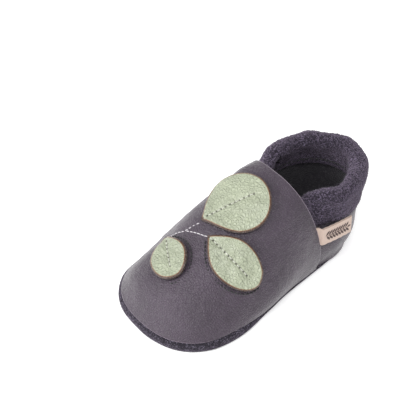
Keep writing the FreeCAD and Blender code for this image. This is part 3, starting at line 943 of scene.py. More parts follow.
@dataclass(frozen=True)
class SuedeFinish:
    """Suede with a brushed nap, its tufts painted lighter and the gaps between them darker:
    painted highlights and painted shade.
    """

    name: str
    colour: Colour
    nap: float = 0.42
    shade: float = 0.4
    light: float = 4.8
    sheen: float = 0.5
    sheen_colour: Colour = (0.52, 0.42, 0.58)

    def make(self) -> bpy.types.Material:
        """Build the material.

        Returns:
            The new material.
        """
        r = Recipe(self.name)
        grains = r.cells(self.nap * 2.0, r.stirred(self.nap * 2.0, self.nap * 1.6), "F1")
        tufts = r.ramp(grains, 0.62, 0.12)
        patches = r.noise(9.0, 4.0, 0.6)
        clumps = r.ramp(r.noise(2.4, 5.0, 0.75), 0.36, 0.64)
        # Tufts go from shade times the colour up to light times it: painted highlights on the
        # tufts, painted shade between them.
        face = r.mix(r.calc("MULTIPLY", tufts, clumps), tint(self.colour, self.shade),
                     tint(self.colour, self.light))
        face = r.mix(r.ramp(patches, 0.3, 0.7, 0.05, 0.35), face, tint(self.colour, 0.75))
        # Faces marked inside are darkened to a quarter of the colour: painted shade.
        face = r.mix(r.calc("MULTIPLY", r.value("inside"), 0.85), face, tint(self.colour, 0.25))
        open_face = r.less_than_one(r.value("inside"))
        r.relief((clumps, -0.25), (tufts, 0.35))
        r.shine(Base_Color=face, Roughness=0.96, Specular_IOR_Level=0.15,
                Sheen_Weight=r.calc("MULTIPLY", open_face, self.sheen),
                Sheen_Roughness=0.42, Sheen_Tint=self.sheen_colour)
        return r.material


@dataclass(frozen=True)
class ThreadFinish:
    """Twisted sewing thread."""

    name: str
    colour: Colour
    roughness: float = 0.7
    patch: float = 4.0
    # Tones of the darker noise patches and of the lighter twist bands, as shares of the colour.
    patch_tone: float = 0.7
    bright: float = 1.1
    twist_scale: float = 900.0

    def make(self) -> bpy.types.Material:
        """Build the material.

        Returns:
            The new material.
        """
        r = Recipe(self.name)
        wave = r.node("ShaderNodeTexWave", wave_type="BANDS", bands_direction="DIAGONAL")
        r.feed(wave.inputs["Vector"], r.place)
        wave.inputs["Scale"].default_value = self.twist_scale
        wave.inputs["Distortion"].default_value = 1.5
        twist = wave.outputs["Fac"]
        # Twist bands run from 0.6 of the colour to bright times it: painted shade in the twist's
        # grooves, painted highlight on its ridges.
        face = r.mix(twist, tint(self.colour, 0.6), tint(self.colour, self.bright))
        # Noise patches pull the thread towards a darker tone.
        face = r.mix(r.ramp(r.noise(self.patch, 4.0, 0.7), 0.38, 0.62, 0.0, 0.85), face,
                     tint(self.colour, self.patch_tone))
        r.relief((twist, 0.05))
        r.shine(Base_Color=face, Roughness=self.roughness, Sheen_Weight=0.25)
        return r.material


@dataclass(frozen=True)
class WovenFinish:
    """Fine woven or ribbed narrow fabric, following the piece's own pattern."""

    name: str
    colour: Colour
    shade: Colour
    warp: float
    weft: float
    depth: float = 0.06

    def make(self) -> bpy.types.Material:
        """Build the material.

        Returns:
            The new material.
        """
        r = Recipe(self.name)
        split = r.node("ShaderNodeSeparateXYZ")
        r.feed(split.inputs[0], r.pattern())
        across, along = (
            r.calc("SINE", r.calc("MULTIPLY", split.outputs[k], math.tau / (width * MM)), 0.0)
            for k, width in ((0, self.warp), (1, self.weft)))
        weave = r.calc("ADD", r.calc("MULTIPLY", r.calc("MULTIPLY", across, along), 0.35), 0.5)
        weave = r.calc("ADD", weave, r.calc("MULTIPLY", along, 0.12))
        face = r.mix(weave, self.shade, self.colour)
        face = r.mix(r.ramp(r.noise(3.0, 4.0), 0.35, 0.7, 0.0, 0.35), face,
                     tint(self.colour, 0.82))
        face = r.mix(r.calc("MULTIPLY", r.value("edge"), 0.5), face, tint(self.colour, 0.7))
        r.relief((weave, self.depth), (r.noise(0.25, 3.0), self.depth * 0.4))
        r.shine(Base_Color=face, Roughness=0.82, Sheen_Weight=0.2, Sheen_Roughness=0.5)
        return r.material


@dataclass(frozen=True)
class FoamFinish:
    """Open-cell foam."""

    name: str
    colour: Colour
    cell: float = 0.7

    def make(self) -> bpy.types.Material:
        """Build the material.

        Returns:
            The new material.
        """
        r = Recipe(self.name)
        pores = r.ramp(r.cells(self.cell, r.stirred(1.2, 0.5)), 0.0, 0.3)
        # Darker where the cell pattern is low, to 0.6 of the colour: painted shade in the pores.
        face = r.mix(pores, tint(self.colour, 0.6), self.colour)
        face = r.mix(r.ramp(r.noise(6.0), 0.3, 0.7, 0.0, 0.3), face, tint(self.colour, 0.85))
        r.relief((pores, 0.15))
        r.shine(Base_Color=face, Roughness=0.9)
        return r.material


AUBERGINE = LeatherFinish("aubergine leather", (0.042, 0.0265, 0.045), (0.40, 0.32, 0.40),
                          (0.016, 0.014, 0.019), grain=1.2, depth=0.17, roughness=0.42,
                          mottle=0.14, valley_shade=0.5, sheen=0.2)
SAGE = LeatherFinish("sage leaf leather", (0.315, 0.345, 0.245), (0.040, 0.015, 0.007),
                     (0.10, 0.07, 0.04), grain=1.7, depth=0.34, roughness=0.32, mottle=0.14,
                     valley_shade=0.3, sheen=0.1, coat=0.4, fine=0.15, rim=(0.17, 0.062, 0.012))
# The insole is made near black: painted shade of the bootie's interior.
SHADED_INSOLE = LeatherFinish("insole leather", (0.010, 0.009, 0.011), (0.02, 0.02, 0.02),
                     (0.01, 0.01, 0.01), grain=0.9, depth=0.05, roughness=0.6)
COLLAR = SuedeFinish("collar suede", (0.043, 0.035, 0.053), sheen=0.6)
SOLE = SuedeFinish("sole suede", (0.040, 0.036, 0.048), sheen=0.35)
# The suede fibres' bright twist bands and dark patches stand for lit and shaded fibres: painted
# highlights and painted shade.
COLLAR_FIBRE = ThreadFinish("collar suede fibre", (0.100, 0.082, 0.118), roughness=0.9,
                            patch=0.8, patch_tone=0.15, bright=2.5)
SOLE_FIBRE = ThreadFinish("sole suede fibre", (0.075, 0.067, 0.088), roughness=0.9,
                          patch=0.9, patch_tone=0.3, bright=1.6)
PALE = ThreadFinish("pale thread", (0.66, 0.63, 0.66), patch_tone=0.85)
RIB = ThreadFinish("leaf thread", (0.62, 0.62, 0.56), patch_tone=0.85)
DARK = ThreadFinish("dark thread", (0.004, 0.004, 0.006))
HIDDEN = ThreadFinish("seam thread", (0.10, 0.09, 0.11))
PRINT = ThreadFinish("tag print", (0.055, 0.022, 0.016), 0.85)
TAPE = WovenFinish("tag tape", (0.60, 0.47, 0.40), (0.38, 0.28, 0.23), 0.45, 0.38)
BAND = WovenFinish("elastic band", (0.75, 0.74, 0.71), (0.5, 0.49, 0.47), 1.2, 0.6, 0.2)
FOAM = FoamFinish("insole foam", (0.72, 0.70, 0.62))

Finish = LeatherFinish | SuedeFinish | ThreadFinish | WovenFinish | FoamFinish
_MADE: dict[str, bpy.types.Material] = {}


def material_of(finish: Finish) -> bpy.types.Material:
    """The material of a finish, made once."""
    if finish.name not in _MADE:
        _MADE[finish.name] = finish.make()
    return _MADE[finish.name]


# ---------------------------------------------------------------- geometry node trees
class Tree:
    """A Geometry Nodes tree with named inputs for its sizes."""

    def __init__(self, name: str, sizes: dict[str, float]) -> None:
        """Start a tree.

        Args:
            name: Name of the tree.
            sizes: Named inputs with their defaults.
        """
        self.group = bpy.data.node_groups.new(name, "GeometryNodeTree")
        face = self.group.interface
        face.new_socket("Geometry", in_out="INPUT", socket_type="NodeSocketGeometry")
        for key, value in sizes.items():
            kind = "NodeSocketInt" if isinstance(value, int) else "NodeSocketFloat"
            face.new_socket(key, in_out="INPUT", socket_type=kind).default_value = value
        face.new_socket("Finish", in_out="INPUT", socket_type="NodeSocketMaterial")
        face.new_socket("Geometry", in_out="OUTPUT", socket_type="NodeSocketGeometry")
        self.source = self.group.nodes.new("NodeGroupInput").outputs

    def node(self, kind: str, feeds: dict[object, object] | None = None,
             **settings: object) -> bpy.types.Node:
        """Add a node.

        Args:
            kind: Node type.
            feeds: Input name or index to a socket or value.
            **settings: Node properties.

        Returns:
            The node.
        """
        made = self.group.nodes.new(kind)
        for key, value in settings.items():
            setattr(made, key, value)
        for key, value in (feeds or {}).items():
            socket = made.inputs[key]
            if isinstance(value, bpy.types.NodeSocket):
                self.group.links.new(value, socket)
            else:
                socket.default_value = value
        return made

    def times(self, value: bpy.types.NodeSocket, factor: float) -> bpy.types.NodeSocket:
        """A number multiplied by a factor."""
        return self.node("ShaderNodeMath", {0: value, 1: factor}, operation="MULTIPLY").outputs[0]

    def vector(self, x: object = 0.0, y: object = 0.0, z: object = 0.0) -> bpy.types.NodeSocket:
        """A vector from three numbers or sockets."""
        return self.node("ShaderNodeCombineXYZ", {0: x, 1: y, 2: z}).outputs[0]

    def stored(self, name: str) -> bpy.types.NodeSocket:
        """A vector stored with each point."""
        return self.node("GeometryNodeInputNamedAttribute", {"Name": name},
                         data_type="FLOAT_VECTOR").outputs[0]

    def close(self, instances: bpy.types.NodeSocket) -> bpy.types.NodeTree:
        """End the tree: realize, set the material, smooth, output.

        Args:
            instances: Socket of the instances.

        Returns:
            The finished tree.
        """
        real = self.node("GeometryNodeRealizeInstances", {0: instances})
        soft = self.node("GeometryNodeSetShadeSmooth", {0: real.outputs[0]})
        done = self.node("GeometryNodeSetMaterial",
                         {"Geometry": soft.outputs[0], "Material": self.source["Finish"]})
        self.node("NodeGroupOutput", {0: done.outputs[0]})
        return self.group


def grow(seed: bpy.types.Object, tree: bpy.types.NodeTree, name: str,
         **inputs: object) -> bpy.types.Object:
    """Run a tree on an object and keep the result as a plain mesh.

    Args:
        seed: Object that the tree grows from; it is left as it was.
        tree: The node tree.
        name: Name of the new object.
        **inputs: Named inputs, with spaces as underscores.

    Returns:
        The new object.
    """
    modifier = seed.modifiers.new("grow", "NODES")
    modifier.node_group = tree
    sockets = {item.name: item.identifier for item in tree.interface.items_tree
               if item.in_out == "INPUT"}
    for key, value in inputs.items():
        modifier[sockets[key.replace("_", " ")]] = value
    deps = bpy.context.evaluated_depsgraph_get()
    mesh = bpy.data.meshes.new_from_object(seed.evaluated_get(deps), depsgraph=deps)
    mesh.name = name
    seed.modifiers.remove(modifier)
    return placed(name, mesh)


def stitch_tree() -> bpy.types.NodeTree:
    """Tree that lays an arched thread on each seed vertex, along its stored direction.

    Returns:
        The finished tree.
    """
    tree = Tree("stitches", {"Stitch Length": 0.002, "Thread Radius": 0.0003,
                             "Rise": 0.0004, "Sink": 0.0003})
    half = tree.times(tree.source["Stitch Length"], 0.5)
    down = tree.times(tree.source["Sink"], -1.0)
    start = tree.vector(tree.times(half, -1.0), z=down)
    top = tree.vector(z=tree.times(tree.source["Rise"], 2.0))
    arch = tree.node("GeometryNodeCurveQuadraticBezier",
                     {"Resolution": 7, "Start": start, "Middle": top,
                      "End": tree.vector(half, z=down)})
    ring = tree.node("GeometryNodeCurvePrimitiveCircle",
                     {"Resolution": 6, "Radius": tree.source["Thread Radius"]})
    thread = tree.node("GeometryNodeCurveToMesh",
                       {"Curve": arch.outputs[0], "Profile Curve": ring.outputs[0],
                        "Fill Caps": True})
    turn = tree.node("FunctionNodeAxesToRotation", {0: tree.stored("up"), 1: tree.stored("along")},
                     primary_axis="Z", secondary_axis="X")
    laid = tree.node("GeometryNodeInstanceOnPoints",
                     {"Points": tree.source["Geometry"], "Instance": thread.outputs[0],
                      "Rotation": turn.outputs[0]})
    return tree.close(laid.outputs[0])


def nap_tree() -> bpy.types.NodeTree:
    """Tree that grows fine leaning fibres over a surface.

    Returns:
        The finished tree.
    """
    tree = Tree("nap", {"Density": 1000.0, "Fibre Length": 0.0008, "Fibre Radius": 0.00004,
                        "Lean": 0.9, "Seed": 3})
    spots = tree.node("GeometryNodeDistributePointsOnFaces",
                      {"Mesh": tree.source["Geometry"], "Density": tree.source["Density"],
                       "Seed": tree.source["Seed"]})
    blade = tree.node("GeometryNodeMeshCone",
                      {"Vertices": 3, "Side Segments": 1,
                       "Radius Top": 0.0, "Radius Bottom": tree.source["Fibre Radius"],
                       "Depth": tree.source["Fibre Length"]}, fill_type="NONE")
    lean, seed = tree.source["Lean"], tree.source["Seed"]
    less = tree.times(lean, -1.0)
    low, high = tree.vector(less, less, -math.pi), tree.vector(lean, lean, math.pi)
    stray = tree.node("FunctionNodeRandomValue", {0: low, 1: high, "Seed": seed},
                      data_type="FLOAT_VECTOR").outputs[0]
    way = tree.node("FunctionNodeRotateRotation",
                    {0: spots.outputs["Rotation"], 1: stray}, rotation_space="LOCAL")
    size = tree.node("FunctionNodeRandomValue", {2: 0.4, 3: 1.5, "Seed": seed},
                     data_type="FLOAT").outputs[1]
    laid = tree.node("GeometryNodeInstanceOnPoints",
                     {"Points": spots.outputs["Points"], "Instance": blade.outputs[0],
                      "Rotation": way.outputs[0], "Scale": size})
    return tree.close(laid.outputs[0])


@dataclass(frozen=True)
class Nap:
    """Brushed fibres of a suede piece: how many to the square metre, and their size in mm."""

    density: float
    length: float
    lean: float
    seed: int
    radius: float = 0.035


@dataclass
class Workshop:
    """Shared trees, and the last steps of every piece."""

    stitches: bpy.types.NodeTree = field(default_factory=stitch_tree)
    nap: bpy.types.NodeTree = field(default_factory=nap_tree)

    def finish(self, thing: bpy.types.Object, slot: Slot, finish: Finish | None,
               replaces: Sequence[str] = ()) -> bpy.types.Object:
        """Give a piece of the bootie its material and body, and hide the parts that it stands for.

        Args:
            thing: The piece.
            slot: Slot of the record; not used.
            finish: Its finish, or None where the tree has set it.
            replaces: Nodes that it stands for.

        Returns:
            The piece.
        """
        if finish is not None:
            thing.data.materials.clear()
            thing.data.materials.append(material_of(finish))
        if replaces:
            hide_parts(*replaces)
        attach(thing, BOOTIE)
        LOG.info("%s: %d faces", thing.name, len(thing.data.polygons))
        return thing

    def brush(self, name: str, surface: bpy.types.Object, slot: Slot, fibre: ThreadFinish,
              nap: Nap) -> None:
        """Grow the nap of a suede piece.

        Args:
            name: Name of the nap's own piece.
            surface: What it grows from.
            slot: Slot of the record.
            fibre: Finish of the fibres.
            nap: Their number and size.
        """
        fibres = grow(surface, self.nap, name, Density=nap.density,
                      Fibre_Length=nap.length * MM, Fibre_Radius=nap.radius * MM,
                      Lean=nap.lean, Seed=nap.seed, Finish=material_of(fibre))
        self.finish(fibres, slot, None)

    def sew(self, name: str, places: Array, along: Array, up: Array, finish: ThreadFinish,
            slot: Slot, length: float, node: str, thread: float = 0.3, rise: float = 0.35,
            sink: float = 0.25) -> None:
        """Sew a row of stitches.

        Args:
            name: Name of the piece.
            places: Middle of each stitch, (n, 3), in millimetres.
            along: Direction of each stitch.
            up: Normal of the leather under it.
            finish: Thread.
            slot: Slot of the record.
            length: Length of a stitch.
            node: Node that the row stands for.
            thread: Radius of the thread.
            rise: Height of its arch.
            sink: Depth of its ends.
        """
        mesh = bpy.data.meshes.new(name + "_seed")
        mesh.from_pydata((places * MM).tolist(), [], [])
        for key, rows in (("along", along), ("up", up)):
            mesh.attributes.new(key, "FLOAT_VECTOR", "POINT").data.foreach_set(
                "vector", unit(rows).astype(np.float32).reshape(-1))
        seed = placed(name + "_seed", mesh)
        row = grow(seed, self.stitches, name, Stitch_Length=length * MM,
                   Thread_Radius=thread * MM, Rise=rise * MM, Sink=sink * MM,
                   Finish=material_of(finish))
        bpy.data.objects.remove(seed)
        self.finish(row, slot, None, [node])


# ---------------------------------------------------------------- sub-assemblies
@dataclass
class Upper:
    """Leather front and back of the upper."""

    shop: Workshop
    over: int = 230
    down: int = 130
    swell: Ripple = Ripple(30.0, 0.35, 11)
    slack: Ripple = Ripple(9.0, 0.07, 12)
    heel_swell: Ripple = Ripple(18.0, 0.2, 21)
    # Shares next to the side seams, the throat and the toe seam where the vamp lies still.
    still: tuple[float, float, float] = (0.3, 0.06, 0.12)
    elastic_width: float = 7.0
    quarter_gap: float = 1.0
    tuck_under: float = 1.8

    def vamp_lift(self, a: Array, s: Array, points: Array) -> Array:
        """Soft unevenness of the vamp, fading out at its sewn and cut edges."""
        side, throat, toe = self.still
        free = ease(np.sin(math.pi * clamp(a)) / side) * ease(s / throat) * ease((1.0 - s) / toe)
        return (self.swell.at(points) + self.slack.at(points)) * free

    def vamp(self) -> None:
        """Front piece, from the toe to the raw throat edge."""
        draft = Draft("vamp_leather")
        even = np.linspace(0.0, 1.0, self.over)
        over = ((1.0 - np.cos(math.pi * even)) / 2.0 + even) / 2.0
        down = np.linspace(0.0, 1.0, self.down)
        sheet_of(draft, FORM.vamp, over, down, -FORM.leather, 0.0, self.vamp_lift,
                 FORM.base - self.tuck_under)
        self.shop.finish(draft.build(), Slot.LEATHER, AUBERGINE, ["vamp"])

    def quarter(self) -> None:
        """Back piece round the heel."""
        def face(angle: Array, t: Array) -> Array:
            """Middle face, from below the sole seam to under the elastic.

            Args:
                angle: Angles round the heel.
                t: Shares of the way up the piece.

            Returns:
                Points of the face.
            """
            top = FORM.roll_height(angle) - self.elastic_width - self.quarter_gap
            low = -self.tuck_under / (FORM.roll_level - FORM.base)
            share = low + (FORM.level(angle, top) - low) * t
            return FORM.heel(angle, share)
        draft = Draft("heel_quarter_leather")
        sheet_of(draft, face, FORM.collar_angles(200), np.linspace(0.0, 1.0, 50),
                 -FORM.leather / 2.0, FORM.leather / 2.0,
                 lambda angle, t, points: self.heel_swell.at(points) * ease(t / 0.2),
                 FORM.base - self.tuck_under)
        self.shop.finish(draft.build(), Slot.LEATHER, AUBERGINE, ["heel_quarter"])

    def build(self) -> None:
        """Make both pieces."""
        self.vamp()
        self.quarter()


@dataclass
class Collar:
    """Gathered suede casing with its elastic."""

    shop: Workshop
    gather: float = 0.08
    # Gathers: how many round the collar (per radian), and how much each one wanders.
    gathers: tuple[tuple[float, float], ...] = ((31.0, 4.0), (47.0, 7.0), (68.0, 5.0))
    gather_seed: int = 33
    still: float = 0.12
    swell: Ripple = Ripple(15.0, 0.28, 31)
    nubs: Ripple = Ripple(2.6, 0.10, 32, 40)
    elastic_width: float = 7.0
    elastic: float = 1.0
    stitch_place: float = 0.93
    pitch: float = 2.5
    stitch: float = 1.7
    tack_setback: float = 0.08
    nap: Nap = Nap(3.4e6, 0.85, 1.15, 5)

    def lift(self, angle: Array, v: Array, points: Array) -> Array:
        """Small gathers across the strip, and the softness of the roll.

        Args:
            angle: Angles round the heel.
            v: Shares of the way across the strip.
            points: Points of the plain strip.

        Returns:
            Height to add at each point.
        """
        rng = np.random.default_rng(self.gather_seed)
        waves = sum(np.cos(angle * rate + rng.uniform(0.0, 6.0) + 1.4 * np.sin(v * bend))
                    for rate, bend in self.gathers)
        crown = ease(v / self.still) * ease((1.0 - v) / self.still)
        gathers = self.gather * waves / 1.7 * crown * (0.5 + 0.5 * np.cos(v * 5.0) ** 2)
        return gathers + (self.swell.at(points) + self.nubs.at(points)) * crown

    def casing(self) -> None:
        """Suede strip folded over the elastic, with its nap."""
        draft = Draft("collar_suede")
        sheet_of(draft, FORM.collar, FORM.collar_angles(330), np.linspace(0.0, 1.0, 72),
                 -FORM.suede, 0.0, self.lift)
        casing = self.shop.finish(draft.build(), Slot.SUEDE, COLLAR, ["collar_casing"])
        self.shop.brush("collar_nap", casing, Slot.SUEDE, COLLAR_FIBRE, self.nap)

    def band(self) -> None:
        """Elastic in the fold, with the tacks at its ends."""
        def face(angle: Array, t: Array) -> Array:
            """Middle face of the elastic, from its lower to its upper edge."""
            low = FORM.level(angle, FORM.roll_height(angle) - self.elastic_width)
            return FORM.heel(angle, low + (1.0 - low) * t)
        draft = Draft("elastic_band")
        sheet_of(draft, face, FORM.collar_angles(120), np.linspace(0.0, 1.0, 10),
                 -self.elastic / 2.0, self.elastic / 2.0)
        self.shop.finish(draft.build(), Slot.ELASTIC, BAND, ["ankle_elastic"])
        places, ways, ups = [], [], []
        for end, inwards in ((FORM.front_angle, 1.0), (math.pi - FORM.front_angle, -1.0)):
            angle = np.full(3, end + inwards * self.tack_setback)
            share = np.array([0.25, 0.5, 0.75])
            up = normals_of(face, angle, share)
            places.append(face(angle, share) + up * self.elastic / 2.0)
            ways.append(face(angle + STEP, share) - face(angle - STEP, share))
            ups.append(up)
        self.shop.sew("elastic_tacks", np.concatenate(places), np.concatenate(ways),
                      np.concatenate(ups), PALE, Slot.PALE_THREAD, self.stitch,
                      node="elastic_end_tacks")

    def hem(self) -> None:
        """Seam inside the bootie that closes the casing."""
        place = self.stitch_place

        def line(angle: Array) -> Array:
            """Line of the seam on the casing."""
            return FORM.collar(angle, np.full_like(angle, place))
        angles = even_places(line, FORM.front_angle, math.pi - FORM.front_angle, self.pitch)
        up = normals_of(FORM.collar, angles, np.full_like(angles, place))
        self.shop.sew("collar_hem_seam", line(angles) + up * 0.15,
                      line(angles + STEP) - line(angles - STEP), up, DARK, Slot.DARK_THREAD,
                      self.stitch, node="collar_hem_stitches")

    def build(self) -> None:
        """Make the collar's pieces."""
        self.casing()
        self.band()
        self.hem()


@dataclass
class Sole:
    """Suede sole, pad and insole, with the seam that holds them to the upper."""

    shop: Workshop
    suede: float = 1.8
    rim_lean: float = 1.2
    tread_inset: float = 2.5
    pad: float = 2.0
    insole: float = 1.2
    clearance: float = 0.2
    seam_pitch: float = 3.6
    seam_stitch: float = 2.6
    rim_kept: float = 0.35
    draw_fade: float = 12.0
    wear: Ripple = Ripple(16.0, 0.16, 41)
    nap: Nap = Nap(9.0e6, 0.8, 1.1, 9)
    fine: int = 2
    merge: float = 0.02
    pad_fill: float = 0.9
    # How far the middle dips, and how soft the edge is.
    pad_shape: tuple[float, float] = (0.15, 0.8)
    insole_shape: tuple[float, float] = (0.5, 0.5)
    tread_rings: int = 26
    inner_rings: int = 28
    # The rim's section from tread to insole: inset from the outline, and height.
    section: tuple[tuple[float, float], ...] = (
        (1.75, 0.1), (1.1, 0.45), (0.6, 1.05), (0.25, 1.8), (0.08, 2.5), (0.0, 3.2),
        (0.05, 4.0), (0.3, 4.8), (0.7, 5.45), (1.15, 5.9), (1.65, 6.1), (2.2, 6.0),
        (2.7, 5.6), (3.0, 5.0), (2.2, 3.6), (2.6, 2.6), (3.6, 1.95))
    brushed: tuple[tuple[float, float], ...] = ((1.15, 5.9), (0.3, 4.8), (0.0, 3.2), (0.6, 1.05))

    def rings(self, levels: Sequence[tuple[float, float]]) -> Array:
        """Rings of points at (inset, height) levels, (levels, n, 3).

        Args:
            levels: Pairs of inset and height.

        Returns:
            The rings, one for each level.
        """
        rows = []
        for inset, z in levels:
            xy, _ = FORM.outline(inset, self.fine)
            rows.append(np.concatenate([xy, np.full((len(xy), 1), z)], -1))
        return np.stack(rows)

    def disc(self, inset: float, z: float, shares: Array, dish: float = 0.0) -> Array:
        """Rings at shares of the way from the middle line to the outline, (shares, n, 3).

        Args:
            inset: Distance inside the sole's outline.
            z: Height of the outermost ring.
            shares: Share of the way out for each ring.
            dish: Depth of the middle below it.

        Returns:
            The rings, one for each share.
        """
        xy, middle = FORM.outline(inset, self.fine)
        rows = []
        for share in shares:
            spot = middle + (xy - middle) * share
            height = np.full((len(xy), 1), z - dish * (1.0 - share ** 2))
            rows.append(np.concatenate([spot, height], -1))
        return np.stack(rows)

    def inward(self, rows: Array, amount: Array) -> Array:
        """Rings moved level towards the sole's middle line by an amount.

        Args:
            rows: Rings of points.
            amount: Distance at each point.

        Returns:
            The moved rings.
        """
        _, middle = FORM.outline(0.0, self.fine)
        out = rows.copy()
        out[..., :2] += unit(middle[None] - rows[..., :2]) * amount[..., None]
        return out

    def drawn(self, rows: Array) -> Array:
        """Rings drawn in under the upper, from behind the ball to the heel.

        Args:
            rows: Rings of points.

        Returns:
            The moved rings.
        """
        _, middle = FORM.outline(0.0, self.fine)
        hidden = (FORM.rim_hidden * FORM.behind_ball(rows[..., 1])
                  + FORM.heel_draw * FORM.round_heel(rows[..., 1]))
        reach = np.linalg.norm(middle[None] - rows[..., :2], axis=-1)
        return self.inward(rows, hidden * ease(reach / self.draw_fade))

    def tucked(self, rows: Array) -> Array:
        """Rings of the rim, a little uneven, drawn in and lowered behind the ball.

        Args:
            rows: Rings of points.

        Returns:
            The moved rings.
        """
        back = FORM.behind_ball(rows[..., 1])
        uneven = self.wear.at(rows) * ease(rows[..., 2] / 2.0)
        out = self.inward(self.drawn(rows), uneven)
        high = np.maximum(rows[..., 2] - self.suede, 0.0)
        out[..., 2] -= high * (1.0 - self.rim_kept) * back
        out[..., 2] += 0.5 * uneven * ease(rows[..., 2] / 4.0)
        return out

    def closed(self, name: str, rows: Array, inner: int = 0) -> Draft:
        """Draft of a body made from rings, of which the first few face the foot.

        Args:
            name: Name of the piece.
            rows: Rings of points.
            inner: Number of rings that face the foot.

        Returns:
            The draft.
        """
        draft = Draft(name)
        inside = (np.arange(len(rows)) < inner)[:, None]
        draft.grid(rows, rows[..., :2] + rows[..., 2:3], around=True, inside=inside)
        return draft

    def outsole(self) -> None:
        """Suede cup with its turned-up rim."""
        shares = np.linspace(0.0, 1.0, self.tread_rings)
        bottom = self.disc(self.tread_inset, 0.0, shares)
        top = self.disc(self.tread_inset + self.suede, self.suede, shares[::-1])
        rows = self.tucked(np.concatenate([bottom, self.rings(self.section), top]))
        draft = self.closed("outsole_suede", rows[::-1], self.inner_rings)
        self.shop.finish(draft.build(self.merge), Slot.SOLE_SUEDE, SOLE, ["outsole"])
        band = self.tucked(self.rings(self.brushed))
        strip = Draft("rim_strip")
        strip.grid(band, band[..., :2], around=True)
        seed = strip.build()
        self.shop.brush("sole_nap", seed, Slot.SOLE_SUEDE, SOLE_FIBRE, self.nap)
        bpy.data.objects.remove(seed)

    def slab(self, name: str, inset: float, low: float, high: float, dish: float,
             soft: float) -> bpy.types.Object:
        """Flat piece with a softened edge, lying in the sole.

        Args:
            name: Name of the piece.
            inset: Distance inside the sole's outline.
            low: Height of its underside.
            high: Height of its top.
            dish: Depth of the top's hollow.
            soft: Width of the softened edge.

        Returns:
            The new object.
        """
        shares = np.linspace(0.0, 1.0, 22)
        bottom = self.disc(inset + soft, low, shares)
        top = self.disc(inset + soft, high, shares[::-1], dish)
        turn = np.linspace(-math.pi / 2.0, math.pi / 2.0, 7)[1:-1]
        half, middle = (high - low) / 2.0, (high + low) / 2.0
        wall = self.rings([(inset + soft * (1.0 - math.cos(t)), middle + half * math.sin(t))
                           for t in turn])
        rows = self.drawn(np.concatenate([bottom, wall, top]))
        return self.closed(name, rows[::-1]).build(self.merge)

    def inlay(self) -> None:
        """Foam pad and leather insole."""
        base = self.suede + self.clearance / 2.0
        edge = self.tread_inset + self.suede + self.clearance
        pad = self.slab("foam_pad", edge, base, base + self.pad, *self.pad_shape)
        self.shop.finish(pad, Slot.FOAM, FOAM, ["sole_pad"])
        base = self.suede + self.clearance + self.pad
        edge = self.rim_lean + self.suede + self.clearance
        insole = self.slab("insole_leather", edge, base, base + self.insole, *self.insole_shape)
        self.shop.finish(insole, Slot.INSOLE, SHADED_INSOLE, ["insole"])

    def seam(self) -> None:
        """Hidden seam between sole and upper."""
        xy, _ = FORM.outline(FORM.seam_inset + FORM.leather / 2.0, self.fine)
        loop = np.concatenate([xy, xy[:1]])
        reach = run_lengths(loop)
        count = round(reach[-1] / self.seam_pitch)
        at = (np.arange(count) + 0.5) * reach[-1] / count
        spot, ahead = (np.stack([np.interp(where, reach, loop[:, k]) for k in (0, 1)], -1)
                       for where in (at, at + 0.2))
        places = np.concatenate([spot, np.full((count, 1), FORM.rim_height)], -1)
        along = np.concatenate([ahead - spot, np.zeros((count, 1))], -1)
        up = np.tile(UP, (count, 1))
        self.shop.sew("sole_seam", FORM.settled(places), along, up, HIDDEN, Slot.SEAM_THREAD,
                      self.seam_stitch, thread=0.12, rise=0.1, sink=0.1,
                      node="sole_seam_stitches")

    def build(self) -> None:
        """Make the sole's pieces."""
        self.outsole()
        self.inlay()
        self.seam()


